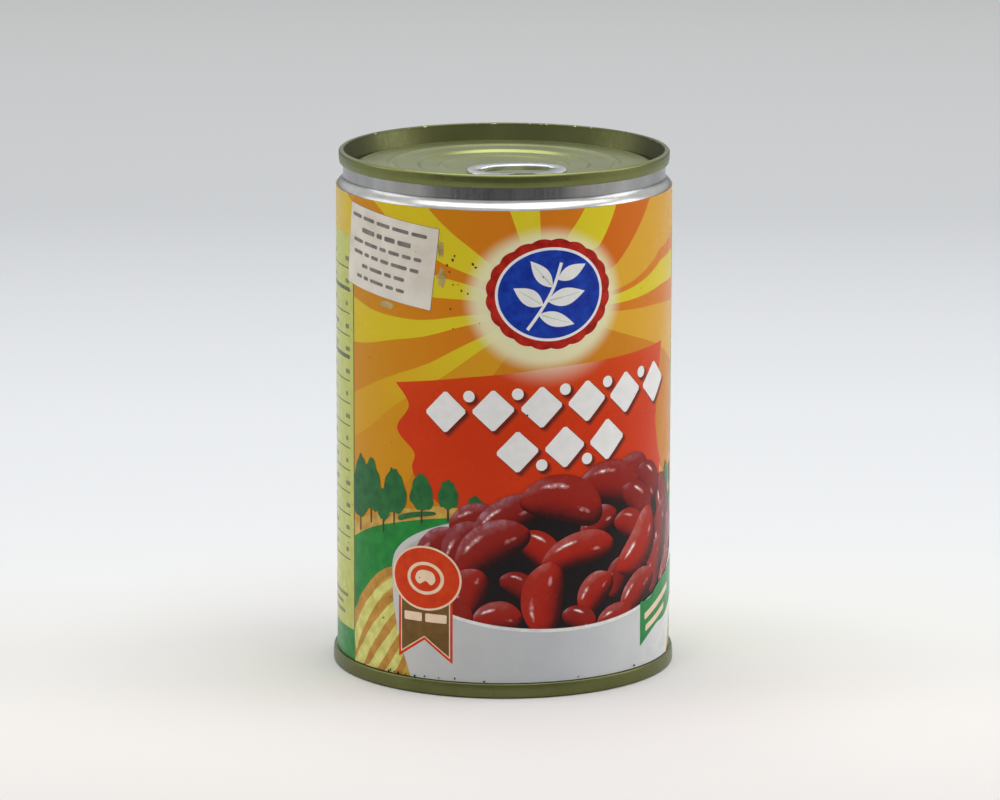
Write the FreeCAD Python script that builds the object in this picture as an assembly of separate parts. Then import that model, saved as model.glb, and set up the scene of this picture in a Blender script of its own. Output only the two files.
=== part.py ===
import FreeCAD, Part
import math
import os

# A shut food can in tinplate, with an easy-open top end, a ring pull, a printed wrap-round label and a
# paper sticker on it. Millimetres, +Z up. The origin is the middle of the circle that the can stands on.

# ---- the can as a whole
total_height = 113.5        # from the foot of the bottom seam to the rim of the top seam
body_radius = 36.4          # the tinplate cylinder under its label

# ---- the necked-in top of the body
neck_inset = 1.4            # how far the neck stands inside the cylinder
neck_height = 1.9           # straight neck under the top seam
shoulder_height = 2.3       # the curve from the neck out to the cylinder

# ---- sheet of both ends, and the groove that runs round each panel
end_sheet = 0.3             # tinplate with its lacquer
groove_curl = 0.85          # inner radius of the groove's bottom
groove_wall = 0.1           # straight wall between the groove's bottom and the panel's edge
panel_curl = 0.45           # radius of the panel's edge, above the groove
rim_outer_round = 0.6
rim_inner_round = 0.4
seam_edge_round = 0.3       # the seam's other edge, against the body

# ---- top end; its beads and step are placed by their distance in from the panel's edge
top_seam_proud = 0.9        # how far the seam stands out from the neck
top_seam_thickness = 1.2
top_seam_height = 2.9
top_wall_lean = 1.1         # how far the chuck wall comes in on its way down
top_panel_depth = 3.3
bead_width = 2.4
bead_height = 0.3
outer_bead_inset = 7.0
step_inset = 13.0           # to the middle of the step down to the sunk centre
step_width = 1.4
step_drop = 0.65
inner_bead_inset = 18.0

# ---- bottom end
bottom_seam_proud = 1.0     # how far the seam stands out from the cylinder
bottom_seam_thickness = 1.3
bottom_seam_height = 3.2
bottom_wall_lean = 0.9
bottom_panel_depth = 3.3
bottom_bead_insets = (5.6, 12.1, 18.6)

# ---- ring pull, drawn along -Y and then turned about the can's axis
tab_turn = 9.3              # degrees, from -Y towards +X
tab_sheet = 0.5             # the web round the rivet
tab_thickness = 1.2         # over the curled edges
tab_edge_round = 0.4
tab_lift = 0.05             # gap over the crest of the outer bead
nose_inset = 0.25           # from the panel's edge in to the tab's nose
nose_to_rivet = 4.6
nose_to_waist = 5.6
nose_to_hole = 9.95         # to the near edge of the finger hole
finger_hole_width = 16.8
finger_hole_length = 9.5
ring_side_band = 2.4
ring_tail_band = 3.45
waist_half_width = 7.6
rivet_shank_radius = 1.5
rivet_head_radius = 2.6
rivet_head_height = 0.5
rivet_clearance = 0.1       # round the shank, in the tab's web
pocket_clearance = 1.3      # round the rivet's head, in the tab's upper face

# ---- label and sticker
label_thickness = 0.12
label_foot_gap = 0.1        # bare line between the bottom seam and the label
label_top_gap = 0.5         # bare line between the label and the shoulder
sticker_width = 26.3
sticker_height = 17.8
sticker_thickness = 0.12
sticker_angle = -44.0       # degrees round the can, from -Y towards +X
sticker_drop = 11.6         # from the label's top to the sticker's middle
sticker_tilt = -6.8         # degrees in the sticker's own plane


def at(radius, height):
    """A point of the half-plane that is spun about the can's axis."""
    return FreeCAD.Vector(radius, 0, height)


def line(start, end):
    return Part.LineSegment(start, end).toShape()


def arc(start, middle, end):
    return Part.Arc(start, middle, end).toShape()


def bezier(*poles):
    curve = Part.BezierCurve()
    curve.setPoles(list(poles))
    return curve.toShape()


def round_corner(centre, radius, from_degrees, to_degrees):
    """A quarter or half turn about a centre in the half-plane."""
    angles = [math.radians(a) for a in (from_degrees, (from_degrees + to_degrees) / 2, to_degrees)]
    points = [centre + at(radius * math.cos(a), radius * math.sin(a)) for a in angles]
    return arc(*points)


def spin(edges):
    """The solid that a closed outline sweeps about the can's axis."""
    outline = Part.Face(Part.Wire(Part.__sortEdges__(edges)))
    return outline.revolve(FreeCAD.Vector(), FreeCAD.Vector(0, 0, 1), 360)


class CanEnd:
    """A pressed end: a rolled seam, a chuck wall, a groove and a beaded panel.

    Its outline is drawn by radius and by depth from the rim, so the same rules serve the top end, whose
    depth runs down, and the bottom end, whose depth runs up.
    """

    def __init__(self, rim_height, direction, seam_outer, seam_thickness, seam_height,
                 wall_lean, panel_depth, marks):
        self.rim_height = rim_height
        self.direction = direction
        self.seam_outer = seam_outer
        self.seam_inner = seam_outer - seam_thickness
        self.seam_height = seam_height
        self.groove_outer = self.seam_inner - wall_lean
        self.wall_end = panel_depth + panel_curl + groove_wall
        self.panel_edge = self.groove_outer - 2 * groove_curl - panel_curl
        self.panel_depth = panel_depth
        self.marks = marks
        self.centre_depth = panel_depth + sum(drop for kind, inset, width, drop in marks if kind == "step")

    def point(self, radius, depth):
        return at(radius, self.rim_height + self.direction * depth)

    def corner(self, radius, depth, size, from_degrees, to_degrees):
        centre = self.point(radius, depth)
        flip = self.direction
        return round_corner(centre, size, flip * from_degrees, flip * to_degrees)

    def wall_radius(self, depth):
        """The chuck wall's outer face, which touches the body."""
        share = (depth - rim_inner_round) / (self.wall_end - rim_inner_round)
        return self.seam_inner + share * (self.groove_outer - self.seam_inner) + end_sheet

    def sheet(self, inset):
        """The face of the sheet from the groove in to the axis; inset 0 is outside, end_sheet inside."""
        curl_centre = self.groove_outer - groove_curl
        curl = groove_curl + inset
        edge_depth = self.panel_depth + panel_curl
        edges = [
            self.corner(curl_centre, self.wall_end, curl, 0, 180),
            line(self.point(curl_centre - curl, self.wall_end), self.point(curl_centre - curl, edge_depth)),
            self.corner(self.panel_edge, edge_depth, panel_curl - inset, 0, -90),
        ]
        radius = self.panel_edge
        depth = self.panel_depth + inset
        for kind, distance_in, width, height in self.marks:
            middle = self.panel_edge - distance_in
            outer = middle + width / 2
            inner = middle - width / 2
            edges.append(line(self.point(radius, depth), self.point(outer, depth)))
            if kind == "bead":
                crest = self.point(middle, depth - height)
                edges.append(arc(self.point(outer, depth), crest, self.point(inner, depth)))
            else:
                lower = depth + height
                edges.append(bezier(self.point(outer, depth), self.point(middle, depth),
                                    self.point(middle, lower), self.point(inner, lower)))
                depth = lower
            radius = inner
        edges.append(line(self.point(radius, depth), self.point(0, depth)))
        return edges

    def inner_face(self):
        """What the body's filling touches: the wall below the seam, the groove and the panel."""
        wall = line(self.point(self.wall_radius(self.seam_height), self.seam_height),
                    self.point(self.wall_radius(self.wall_end), self.wall_end))
        return [wall] + self.sheet(end_sheet)

    def solid(self):
        seam_foot = self.point(self.wall_radius(self.seam_height), self.seam_height)
        outer = self.seam_outer
        inner = self.seam_inner
        edges = self.inner_face() + self.sheet(0)
        edges += [
            line(seam_foot, self.point(outer - seam_edge_round, self.seam_height)),
            self.corner(outer - seam_edge_round, self.seam_height - seam_edge_round, seam_edge_round, 90, 0),
            line(self.point(outer, self.seam_height - seam_edge_round), self.point(outer, rim_outer_round)),
            self.corner(outer - rim_outer_round, rim_outer_round, rim_outer_round, 0, -90),
            line(self.point(outer - rim_outer_round, 0), self.point(inner + rim_inner_round, 0)),
            self.corner(inner + rim_inner_round, rim_inner_round, rim_inner_round, -90, -180),
            line(self.point(inner, rim_inner_round), self.point(self.groove_outer, self.wall_end)),
            line(self.point(0, self.centre_depth), self.point(0, self.centre_depth + end_sheet)),
        ]
        return spin(edges)


neck_radius = body_radius - neck_inset
top = CanEnd(total_height, -1, neck_radius + top_seam_proud, top_seam_thickness, top_seam_height,
             top_wall_lean, top_panel_depth,
             [("bead", outer_bead_inset, bead_width, bead_height),
              ("step", step_inset, step_width, step_drop),
              ("bead", inner_bead_inset, bead_width, bead_height)])
bottom = CanEnd(0, 1, body_radius + bottom_seam_proud, bottom_seam_thickness, bottom_seam_height,
                bottom_wall_lean, bottom_panel_depth,
                [("bead", inset, bead_width, bead_height) for inset in bottom_bead_insets])


neck_foot = total_height - top_seam_height - neck_height
shoulder_foot = neck_foot - shoulder_height


def make_can_body():
    """The tinplate body and what it is filled with, as one solid that meets both ends face to face."""
    lower = bottom_seam_height
    upper = total_height - top_seam_height
    half = shoulder_height / 2
    edges = bottom.inner_face() + top.inner_face()
    edges += [
        line(at(bottom.wall_radius(lower), lower), at(body_radius, lower)),
        line(at(body_radius, lower), at(body_radius, shoulder_foot)),
        bezier(at(body_radius, shoulder_foot), at(body_radius, shoulder_foot + half),
               at(neck_radius, neck_foot - half), at(neck_radius, neck_foot)),
        line(at(neck_radius, neck_foot), at(neck_radius, upper)),
        line(at(neck_radius, upper), at(top.wall_radius(top_seam_height), upper)),
        line(bottom.point(0, bottom.centre_depth + end_sheet), top.point(0, top.centre_depth + end_sheet)),
    ]
    return spin(edges)


# The tab's places along its length, as distances from the can's axis.
tab_nose = top.panel_edge - nose_inset
rivet_distance = tab_nose - nose_to_rivet
tab_waist = tab_nose - nose_to_waist
hole_centre = tab_nose - nose_to_hole - finger_hole_length / 2
tab_tail = hole_centre - finger_hole_length / 2 - ring_tail_band
ring_half_width = finger_hole_width / 2 + ring_side_band


def tab_point(distance, across):
    """A point in plan, by its distance from the can's axis along the tab and its offset across it."""
    return FreeCAD.Vector(across, -distance, 0)


def tab_outline():
    """The ring pull in plan: a wide ring at the tail, a waist at the rivet and a round nose."""
    edges = []
    for side in (1, -1):
        ring = side * ring_half_width
        waist = side * waist_half_width
        ring_reach = 0.6 * (hole_centre - tab_tail)
        waist_reach = 0.5 * (tab_waist - hole_centre)
        nose_reach = 0.6 * (tab_nose - tab_waist)
        edges.append(bezier(tab_point(tab_tail, 0), tab_point(tab_tail, 0.62 * ring),
                            tab_point(hole_centre - ring_reach, ring), tab_point(hole_centre, ring)))
        edges.append(bezier(tab_point(hole_centre, ring), tab_point(hole_centre + waist_reach, ring),
                            tab_point(tab_waist - waist_reach, 1.15 * waist), tab_point(tab_waist, waist)))
        edges.append(bezier(tab_point(tab_waist, waist), tab_point(tab_waist + nose_reach, 0.86 * waist),
                            tab_point(tab_nose, 0.6 * waist), tab_point(tab_nose, 0)))
    return Part.Face(Part.Wire(Part.__sortEdges__(edges)))


def finger_hole_outline():
    """An oval that is wider across the tab than along it."""
    hole = Part.Ellipse(tab_point(hole_centre, 0), finger_hole_width / 2, finger_hole_length / 2)
    return Part.Face(Part.Wire(hole.toShape()))


# The tab lies just over the crest of the outer bead.
tab_underside = total_height - top_panel_depth + bead_height + tab_lift
tab_top = tab_underside + tab_thickness


def upright(radius, foot, height):
    """A cylinder at the rivet's place."""
    return Part.makeCylinder(radius, height, tab_point(rivet_distance, 0) + FreeCAD.Vector(0, 0, foot))


def turned(shape):
    """A shape drawn along -Y, brought to the tab's own direction."""
    shape.rotate(FreeCAD.Vector(), FreeCAD.Vector(0, 0, 1), tab_turn)
    return shape


def make_pull_tab():
    plate = tab_outline().cut(finger_hole_outline())
    tab = plate.extrude(FreeCAD.Vector(0, 0, tab_thickness))
    flat_rims = [edge for edge in tab.Edges if edge.BoundBox.ZLength < tab_thickness / 2]
    tab = tab.makeFillet(tab_edge_round, flat_rims)
    tab.translate(FreeCAD.Vector(0, 0, tab_underside))
    web_top = tab_underside + tab_sheet
    tab = tab.cut(upright(rivet_head_radius + pocket_clearance, web_top, tab_thickness))
    tab = tab.cut(upright(rivet_shank_radius + rivet_clearance, tab_underside - tab_sheet, 2 * tab_thickness))
    return turned(tab.Solids[0])


def make_tab_rivet():
    """A rivet that stands on the panel, passes through the tab's web and is headed over it."""
    foot = total_height - top_panel_depth
    web_top = tab_underside + tab_sheet
    shank = upright(rivet_shank_radius, foot, web_top - foot)
    head = upright(rivet_head_radius, web_top, rivet_head_height)
    crown = [edge for edge in head.Edges if edge.BoundBox.ZMin > web_top + rivet_head_height / 2]
    head = head.makeFillet(rivet_head_height / 2, crown)
    return turned(shank.fuse(head).removeSplitter())


label_foot = bottom_seam_height + label_foot_gap
label_top = shoulder_foot - label_top_gap
label_radius = body_radius + label_thickness
sticker_middle = label_top - sticker_drop


def tube(inner, thickness, foot, height):
    start = FreeCAD.Vector(0, 0, foot)
    return Part.makeCylinder(inner + thickness, height, start).cut(Part.makeCylinder(inner, height, start))


def make_label():
    """A sleeve that wraps the cylinder from the bottom seam to just under the shoulder."""
    return tube(body_radius, label_thickness, label_foot, label_top - label_foot)


def make_paper_sticker():
    """A paper rectangle, turned a little in its own plane and pressed round the label."""
    tilt = math.radians(sticker_tilt)
    corners = []
    for along, up in ((-1, -1), (1, -1), (1, 1), (-1, 1)):
        across = along * sticker_width / 2
        rise = up * sticker_height / 2
        arc_length = across * math.cos(tilt) - rise * math.sin(tilt)
        height = across * math.sin(tilt) + rise * math.cos(tilt)
        flat = label_radius * math.sin(arc_length / label_radius)
        corners.append(FreeCAD.Vector(flat, 0, sticker_middle + height))
    cutter = Part.Face(Part.makePolygon(corners + corners[:1]))
    cutter = cutter.extrude(FreeCAD.Vector(0, -2 * body_radius, 0))
    cutter.rotate(FreeCAD.Vector(), FreeCAD.Vector(0, 0, 1), sticker_angle)
    band = tube(label_radius, sticker_thickness, sticker_middle - sticker_width, 2 * sticker_width)
    return band.common(cutter).Solids[0]


nodes = {
    "can_body": make_can_body(),
    "top_end": top.solid(),
    "bottom_end": bottom.solid(),
    "pull_tab": make_pull_tab(),
    "tab_rivet": make_tab_rivet(),
    "label": make_label(),
    "paper_sticker": make_paper_sticker(),
}

os.makedirs("parts", exist_ok=True)
for name, shape in nodes.items():
    if not shape.isValid() or len(shape.Solids) != 1:
        raise ValueError(f"{name} is not one valid solid")
    shape.exportStep(f"parts/{name}.step")
    box = shape.BoundBox
    print(f"{name}: {shape.Volume / 1000:.3f} cm3, x {box.XMin:.2f} to {box.XMax:.2f}, "
          f"y {box.YMin:.2f} to {box.YMax:.2f}, z {box.ZMin:.2f} to {box.ZMax:.2f}")
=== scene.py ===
# %% [markdown]
# # A tin of kidney beans
# This lesson dresses a shut food can for a picture: a tinplate body, two lacquered ends, a ring pull,
# a varnished paper label with a printed picture, and a shop's paper sticker. The shapes come from a CAD
# model that is already packed, so the first step loads it. Everything after this fits round that frame.

# %% Load the frame
import math
import random

import bmesh
import bpy
from mathutils import Matrix, Vector


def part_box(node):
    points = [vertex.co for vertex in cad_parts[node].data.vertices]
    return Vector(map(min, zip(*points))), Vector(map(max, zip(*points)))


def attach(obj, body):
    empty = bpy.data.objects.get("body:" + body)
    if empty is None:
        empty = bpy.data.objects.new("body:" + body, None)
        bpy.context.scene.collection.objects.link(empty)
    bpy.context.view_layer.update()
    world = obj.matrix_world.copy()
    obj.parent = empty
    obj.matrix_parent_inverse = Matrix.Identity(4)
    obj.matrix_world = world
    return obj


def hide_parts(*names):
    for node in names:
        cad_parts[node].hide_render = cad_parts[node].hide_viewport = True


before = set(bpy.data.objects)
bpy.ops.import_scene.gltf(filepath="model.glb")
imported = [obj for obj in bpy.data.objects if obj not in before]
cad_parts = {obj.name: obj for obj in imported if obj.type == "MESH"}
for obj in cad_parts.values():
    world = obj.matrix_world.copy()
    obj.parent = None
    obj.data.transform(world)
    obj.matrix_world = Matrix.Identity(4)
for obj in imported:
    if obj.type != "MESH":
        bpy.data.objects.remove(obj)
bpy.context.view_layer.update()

# %% [markdown]
# Blender counts in metres and a can maker in millimetres, so every size below is written in millimetres
# and multiplied by MM where it is used. Colours are written as on a colour card, in sRGB hex, and one
# function turns them into the linear numbers that a shader wants. One more function adds a node with its
# settings and its links, for materials and for Geometry Nodes alike, so that a tree reads like a list.

# %% Units, colours and nodes
MM = 0.001


def linear(colour, alpha=1.0):
    """The linear RGBA value of an sRGB hex colour such as "#b5883c"."""
    channels = [int(colour[i:i + 2], 16) / 255 for i in (1, 3, 5)]
    return (*[c / 12.92 if c <= 0.04045 else ((c + 0.055) / 1.055) ** 2.4 for c in channels], alpha)


def add(tree, kind, inputs=None, **settings):
    """Adds a node. Settings are its properties; an input is a value, or another node's output to link."""
    node = tree.nodes.new(kind)
    for name, value in settings.items():
        setattr(node, name, value)
    for key, value in (inputs or {}).items():
        if isinstance(value, bpy.types.NodeSocket):
            tree.links.new(value, node.inputs[key])
        else:
            node.inputs[key].default_value = value
    return node


def math_node(tree, operation, *values):
    """The output of one sum on two or three numbers or outputs."""
    return add(tree, "ShaderNodeMath", dict(enumerate(values)), operation=operation).outputs[0]


def new_material(name):
    """An empty material, its tree and its shader, already joined to the output."""
    material = bpy.data.materials.new(name)
    material.use_nodes = True
    material.node_tree.nodes.clear()
    shader = add(material.node_tree, "ShaderNodeBsdfPrincipled")
    add(material.node_tree, "ShaderNodeOutputMaterial", {"Surface": shader.outputs[0]})
    return material, material.node_tree, shader


def colour_ramp(tree, factor, stops, interpolation="LINEAR"):
    """The colour at a place from 0 to 1; stops are (place, hex colour) in order."""
    ramp = add(tree, "ShaderNodeValToRGB", {"Fac": factor})
    ramp.color_ramp.interpolation = interpolation
    elements = ramp.color_ramp.elements
    while len(elements) < len(stops):
        elements.new(1.0)
    for element, (place, colour) in zip(elements, stops):
        element.position = place
        element.color = linear(colour)
    return ramp.outputs["Color"]


print("a mid grey, linear:", [round(c, 3) for c in linear("#808080")])

# %% [markdown]
# The camera stands a little over a metre away with a long lens, as for a catalogue picture: far enough
# that the can's sides stay nearly parallel, and high enough to look over the rim at the lid.

# %% Camera
camera_distance = 1.1905
camera_height_angle = math.radians(11.95)
camera_roll = math.radians(0.14)
look_at = Vector((0, 0, 0.0562))

camera = bpy.data.objects.new("camera", bpy.data.cameras.new("camera"))
bpy.context.scene.collection.objects.link(camera)
camera.data.lens = 195.75
camera.data.sensor_width = 36
camera.data.shift_x = -0.0036
camera.data.shift_y = 0.0065
camera.data.clip_start = 0.05
back = Vector((0, -math.cos(camera_height_angle), math.sin(camera_height_angle)))
turn = Matrix.Rotation(math.pi / 2 - camera_height_angle, 4, "X") @ Matrix.Rotation(camera_roll, 4, "Z")
camera.matrix_world = Matrix.Translation(look_at + back * camera_distance) @ turn
bpy.context.scene.camera = camera
bpy.context.scene.view_settings.view_transform = "Standard"
print("camera at", [round(c, 4) for c in camera.matrix_world.translation])

# %% [markdown]
# The can stands on a long sheet of pale paper in a light tent: one big lamp overhead, a lamp to each
# side and soft light from everywhere else. The paper is painted darker with distance, because less light
# falls there: a ramp over Y does it, and no lamp has to be tuned for it.

# %% Paper floor
floor_size = 9.0
paper_greys = [(-1.5, "#c8c7c5"), (-0.14, "#dfdcd9"), (-0.05, "#eae7e4"), (0.05, "#e3e4e3"),
               (0.14, "#dee0e2"), (0.26, "#dadcde"), (0.4, "#d2d4d7"), (0.57, "#c5c7c9"),
               (1.0, "#d0d1d1"), (2.5, "#c8c8ca")]


def flat_sheet(name, corners, material):
    """A single four-sided face, used for the stage only."""
    mesh = bpy.data.meshes.new(name)
    mesh.from_pydata(corners, [], [(0, 1, 2, 3)])
    mesh.materials.append(material)
    sheet = bpy.data.objects.new(name, mesh)
    bpy.context.scene.collection.objects.link(sheet)
    return sheet


paper, tree, shader = new_material("studio_paper")
place = add(tree, "ShaderNodeTexCoord").outputs["Object"]
away = add(tree, "ShaderNodeSeparateXYZ", {0: place}).outputs["Y"]
nearest = paper_greys[0][0]
reach = paper_greys[-1][0] - nearest
stops = [((y - nearest) / reach, grey) for y, grey in paper_greys]
share = add(tree, "ShaderNodeMapRange", {"Value": away, 1: nearest, 2: nearest + reach}).outputs[0]
tree.links.new(colour_ramp(tree, share, stops), shader.inputs["Base Color"])
shader.inputs["Roughness"].default_value = 0.9
shader.inputs["Specular IOR Level"].default_value = 0.1
half = floor_size / 2
flat_sheet("floor", [(-half, -half, 0), (half, -half, 0), (half, half, 0), (-half, half, 0)], paper)

print("floor:", floor_size, "m square")

# %% [markdown]
# A dark card in front, which only mirror-like surfaces see, stands for the unlit room behind the camera.
# Without it polished tinplate has nothing dark to show and looks like plaster. Three flags hide the card
# from the camera, from the soft light and from shadows, so it changes reflections and nothing else.

# %% Dark card
card_depth, card_low, card_high, card_half_width = -0.36, 0.002, 0.13, 0.45
card_paint, tree, shader = new_material("dark_card")
tree.nodes.clear()
place = add(tree, "ShaderNodeTexCoord").outputs["Object"]
aside = math_node(tree, "ABSOLUTE", add(tree, "ShaderNodeSeparateXYZ", {0: place}).outputs["X"])
grey = colour_ramp(tree, aside, [(0.0, "#555759"), (0.14, "#525456"), (0.5, "#626261")])
glow = add(tree, "ShaderNodeEmission", {"Color": grey, "Strength": 1.0})
add(tree, "ShaderNodeOutputMaterial", {"Surface": glow.outputs[0]})
card = flat_sheet("dark_card", [(-card_half_width, card_depth, card_low),
                                (card_half_width, card_depth, card_low),
                                (card_half_width, card_depth, card_high),
                                (-card_half_width, card_depth, card_high)], card_paint)
card.visible_camera = False
card.visible_diffuse = False
card.visible_shadow = False
print("card:", 2 * card_half_width, "m wide")

# %% [markdown]
# The lamps are area lamps, which throw the soft-edged shadow of a light tent. The tent's walls are the
# world: even and dim for soft light, and for reflections a gradient from a dim front to a pale roof.

# %% Lamps and tent
def softbox(name, centre, width, height, power):
    """A rectangular lamp that faces the can."""
    lamp = bpy.data.lights.new(name, "AREA")
    lamp.shape = "RECTANGLE"
    lamp.size = width
    lamp.size_y = height
    lamp.energy = power
    thing = bpy.data.objects.new(name, lamp)
    bpy.context.scene.collection.objects.link(thing)
    thing.location = centre
    thing.rotation_euler = (look_at - Vector(centre)).to_track_quat("-Z", "Y").to_euler()
    return thing


softbox("overhead_lamp", (0.05, 0.12, 1.35), 1.6, 1.3, 16.5)
softbox("left_lamp", (-1.5, 0.1, 0.75), 1.0, 1.1, 4.0)
softbox("right_lamp", (1.5, 0.1, 0.75), 1.0, 1.1, 6.0)

world = bpy.context.scene.world or bpy.data.worlds.new("tent")
bpy.context.scene.world = world
world.use_nodes = True
world.node_tree.nodes.clear()
tree = world.node_tree
sky = add(tree, "ShaderNodeTexCoord").outputs["Generated"]
seen = add(tree, "ShaderNodeSeparateXYZ", {0: sky}).outputs
walls = colour_ramp(tree, add(tree, "ShaderNodeMapRange", {"Value": seen["Y"], 1: -1.0, 2: 0.2}).outputs[0],
                    [(0.0, "#3c3d3e"), (0.35, "#646566"), (1.0, "#8c8d8e")])
roof = add(tree, "ShaderNodeMapRange", {"Value": seen["Z"], 1: 0.05, 2: 0.3}).outputs[0]
mirrored = add(tree, "ShaderNodeMix", {0: roof, 6: walls, 7: linear("#eceded")}, data_type="RGBA").outputs[2]
by_light = add(tree, "ShaderNodeBackground", {"Color": linear("#f4f5f6"), "Strength": 0.42})
by_mirror = add(tree, "ShaderNodeBackground", {"Color": mirrored, "Strength": 1.0})
glossy = add(tree, "ShaderNodeLightPath").outputs["Is Glossy Ray"]
tent = add(tree, "ShaderNodeMixShader", {0: glossy, 1: by_light.outputs[0], 2: by_mirror.outputs[0]})
add(tree, "ShaderNodeOutputWorld", {"Surface": tent.outputs[0]})

# %% [markdown]
# Geometry Nodes build a mesh by rules. Each tree here takes a simple mesh and some named sizes, and ends
# in Realize Instances and Set Material. The helper below sets a tree's sizes by their identifiers, runs
# it and keeps the result as a plain mesh, so that nothing depends on the modifier afterwards.

# %% Trees and plain results
def new_tree(name, sizes):
    """An empty tree with a mesh and named sizes going in; sizes are (name, socket type)."""
    tree = bpy.data.node_groups.new(name, "GeometryNodeTree")
    tree.interface.new_socket("Geometry", in_out="INPUT", socket_type="NodeSocketGeometry")
    for size, kind in sizes:
        tree.interface.new_socket(size, in_out="INPUT", socket_type=kind)
    tree.interface.new_socket("Geometry", in_out="OUTPUT", socket_type="NodeSocketGeometry")
    return tree, add(tree, "NodeGroupInput").outputs


def end_tree(tree, geometry, given):
    """The last nodes of every tree: real geometry, smooth faces and one material."""
    real = add(tree, "GeometryNodeRealizeInstances", {0: geometry})
    smooth = add(tree, "GeometryNodeSetShadeSmooth", {"Geometry": real.outputs[0]})
    painted = add(tree, "GeometryNodeSetMaterial", {0: smooth.outputs[0], "Material": given["Material"]})
    add(tree, "NodeGroupOutput", {0: painted.outputs[0]})


def as_mesh(name, shape):
    """A mesh made from a shape that was being edited, which is then let go."""
    mesh = bpy.data.meshes.new(name)
    shape.to_mesh(mesh)
    shape.free()
    return mesh


def object_of(name, mesh):
    thing = bpy.data.objects.new(name, mesh)
    bpy.context.scene.collection.objects.link(thing)
    return thing


def grow(thing, tree, **sizes):
    """Runs a tree on an object and keeps what it makes as the object's own plain mesh."""
    modifier = thing.modifiers.new(tree.name, "NODES")
    modifier.node_group = tree
    for socket in tree.interface.items_tree:
        if socket.in_out == "INPUT" and socket.name in sizes:
            modifier[socket.identifier] = sizes[socket.name]
    depsgraph = bpy.context.evaluated_depsgraph_get()
    grown = thing.evaluated_get(depsgraph)
    mesh = bpy.data.meshes.new_from_object(grown, preserve_all_data_layers=True, depsgraph=depsgraph)
    thing.modifiers.clear()
    thing.data = mesh
    mesh.name = thing.name
    return thing


def face_outwards(thing):
    """Turns the faces of a closed mesh so that they all point out of it."""
    mesh = bmesh.new()
    mesh.from_mesh(thing.data)
    bmesh.ops.recalc_face_normals(mesh, faces=mesh.faces)
    mesh.to_mesh(thing.data)
    mesh.free()


def fit_out(piece, slot, *nodes):
    """Lets a piece ride on the can and hides the CAD nodes that it stands for. The slot is not used."""
    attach(piece, "root")
    if nodes:
        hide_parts(*nodes)
    piece.data.calc_loop_triangles()
    print(piece.name, "has", len(piece.data.loop_triangles), "triangles")


# %% [markdown]
# A can is almost all turned shapes: its body is rolled, and its ends are pressed on round tools. A
# turned shape is an outline and a rule, so one tree makes them all. It lays out a grid with a row for
# each point of the outline, moves every row to its point, and turns each column a step further round the
# axis. A spin in mesh code would do as well; the tree has the merit that the number of steps is one size.

# %% The turning tree
turning, given = new_tree("turning", [("Steps", "NodeSocketInt"), ("Material", "NodeSocketMaterial")])
outline = given["Geometry"]
steps = given["Steps"]
count = add(turning, "GeometryNodeAttributeDomainSize", {0: outline}).outputs["Point Count"]
columns = math_node(turning, "ADD", steps, 1)
grid = add(turning, "GeometryNodeMeshGrid", {"Vertices X": count, "Vertices Y": columns})
index = add(turning, "GeometryNodeInputIndex").outputs[0]
row = math_node(turning, "FLOOR", math_node(turning, "DIVIDE", index, columns))
column = math_node(turning, "MODULO", index, columns)
place = add(turning, "GeometryNodeInputPosition").outputs[0]
point = add(turning, "GeometryNodeSampleIndex", {"Geometry": outline, "Value": place, "Index": row},
            data_type="FLOAT_VECTOR").outputs[0]
angle = math_node(turning, "MULTIPLY", math_node(turning, "DIVIDE", column, steps), 2 * math.pi)
turned = add(turning, "ShaderNodeVectorRotate", {"Vector": point, "Angle": angle}, rotation_type="Z_AXIS")
across = add(turning, "ShaderNodeSeparateXYZ", {0: grid.outputs["UV Map"]}).outputs
unrolled = add(turning, "ShaderNodeCombineXYZ", {"X": across["Y"], "Y": across["X"]}).outputs[0]
mapped = add(turning, "GeometryNodeStoreNamedAttribute",
             {"Geometry": grid.outputs["Mesh"], "Name": "OFBake", "Value": unrolled},
             data_type="FLOAT2", domain="CORNER")
moved = add(turning, "GeometryNodeSetPosition",
            {"Geometry": mapped.outputs[0], "Position": turned.outputs[0]})
welded = add(turning, "GeometryNodeMergeByDistance", {"Geometry": moved.outputs[0], "Distance": 1e-7})
end_tree(turning, welded.outputs[0], given)
turning_steps = 288
edge_support = 0.07         # mm, how near an edge the extra point stands


def supported(points):
    """The outline with a point close to each end of every long straight, which keeps flats flat."""
    held = [points[0]]
    for start, stop in zip(points, points[1:]):
        run = math.dist(start, stop)
        if run > 4 * edge_support:
            for share in (edge_support / run, 1 - edge_support / run):
                held.append(tuple(a + (b - a) * share for a, b in zip(start, stop)))
        held.append(stop)
    return held


def turned_piece(name, points, material):
    """A closed shape turned from an outline of (radius, height) points in millimetres."""
    mesh = bpy.data.meshes.new(name)
    mesh.from_pydata([(radius * MM, 0, height * MM) for radius, height in supported(points)], [], [])
    piece = grow(object_of(name, mesh), turning, Steps=turning_steps, Material=material)
    face_outwards(piece)
    return piece


print("the turning tree has", len(turning.nodes), "nodes")

# %% [markdown]
# The ends and the body share their outlines, because one is pressed over the other. An end is a sheet
# with a rolled seam, a wall that leans in, a groove, and a panel with pressed beads. It is drawn by its
# distance from the rim, so the same steps draw the top, where depth runs down, and the bottom, where it
# runs up. Arcs are cut into short straight steps, fine enough that a highlight runs round them smoothly.

# %% Outlines of the ends
total_height = 113.5
body_radius = 36.4
neck_radius = 35.0
end_sheet = 0.3
groove_curl = 0.85
groove_wall = 0.1
panel_curl = 0.45
rim_outer_round = 0.6
rim_inner_round = 0.4
seam_edge_round = 0.3
seam_tuck = 0.14            # how far the seam's free edge is rolled in
bead_width = 2.4
bead_height = 0.3
score_inset = 0.75          # the cut line that the panel tears along, in from the panel's edge
score_width = 0.28
score_depth = 0.09


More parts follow.
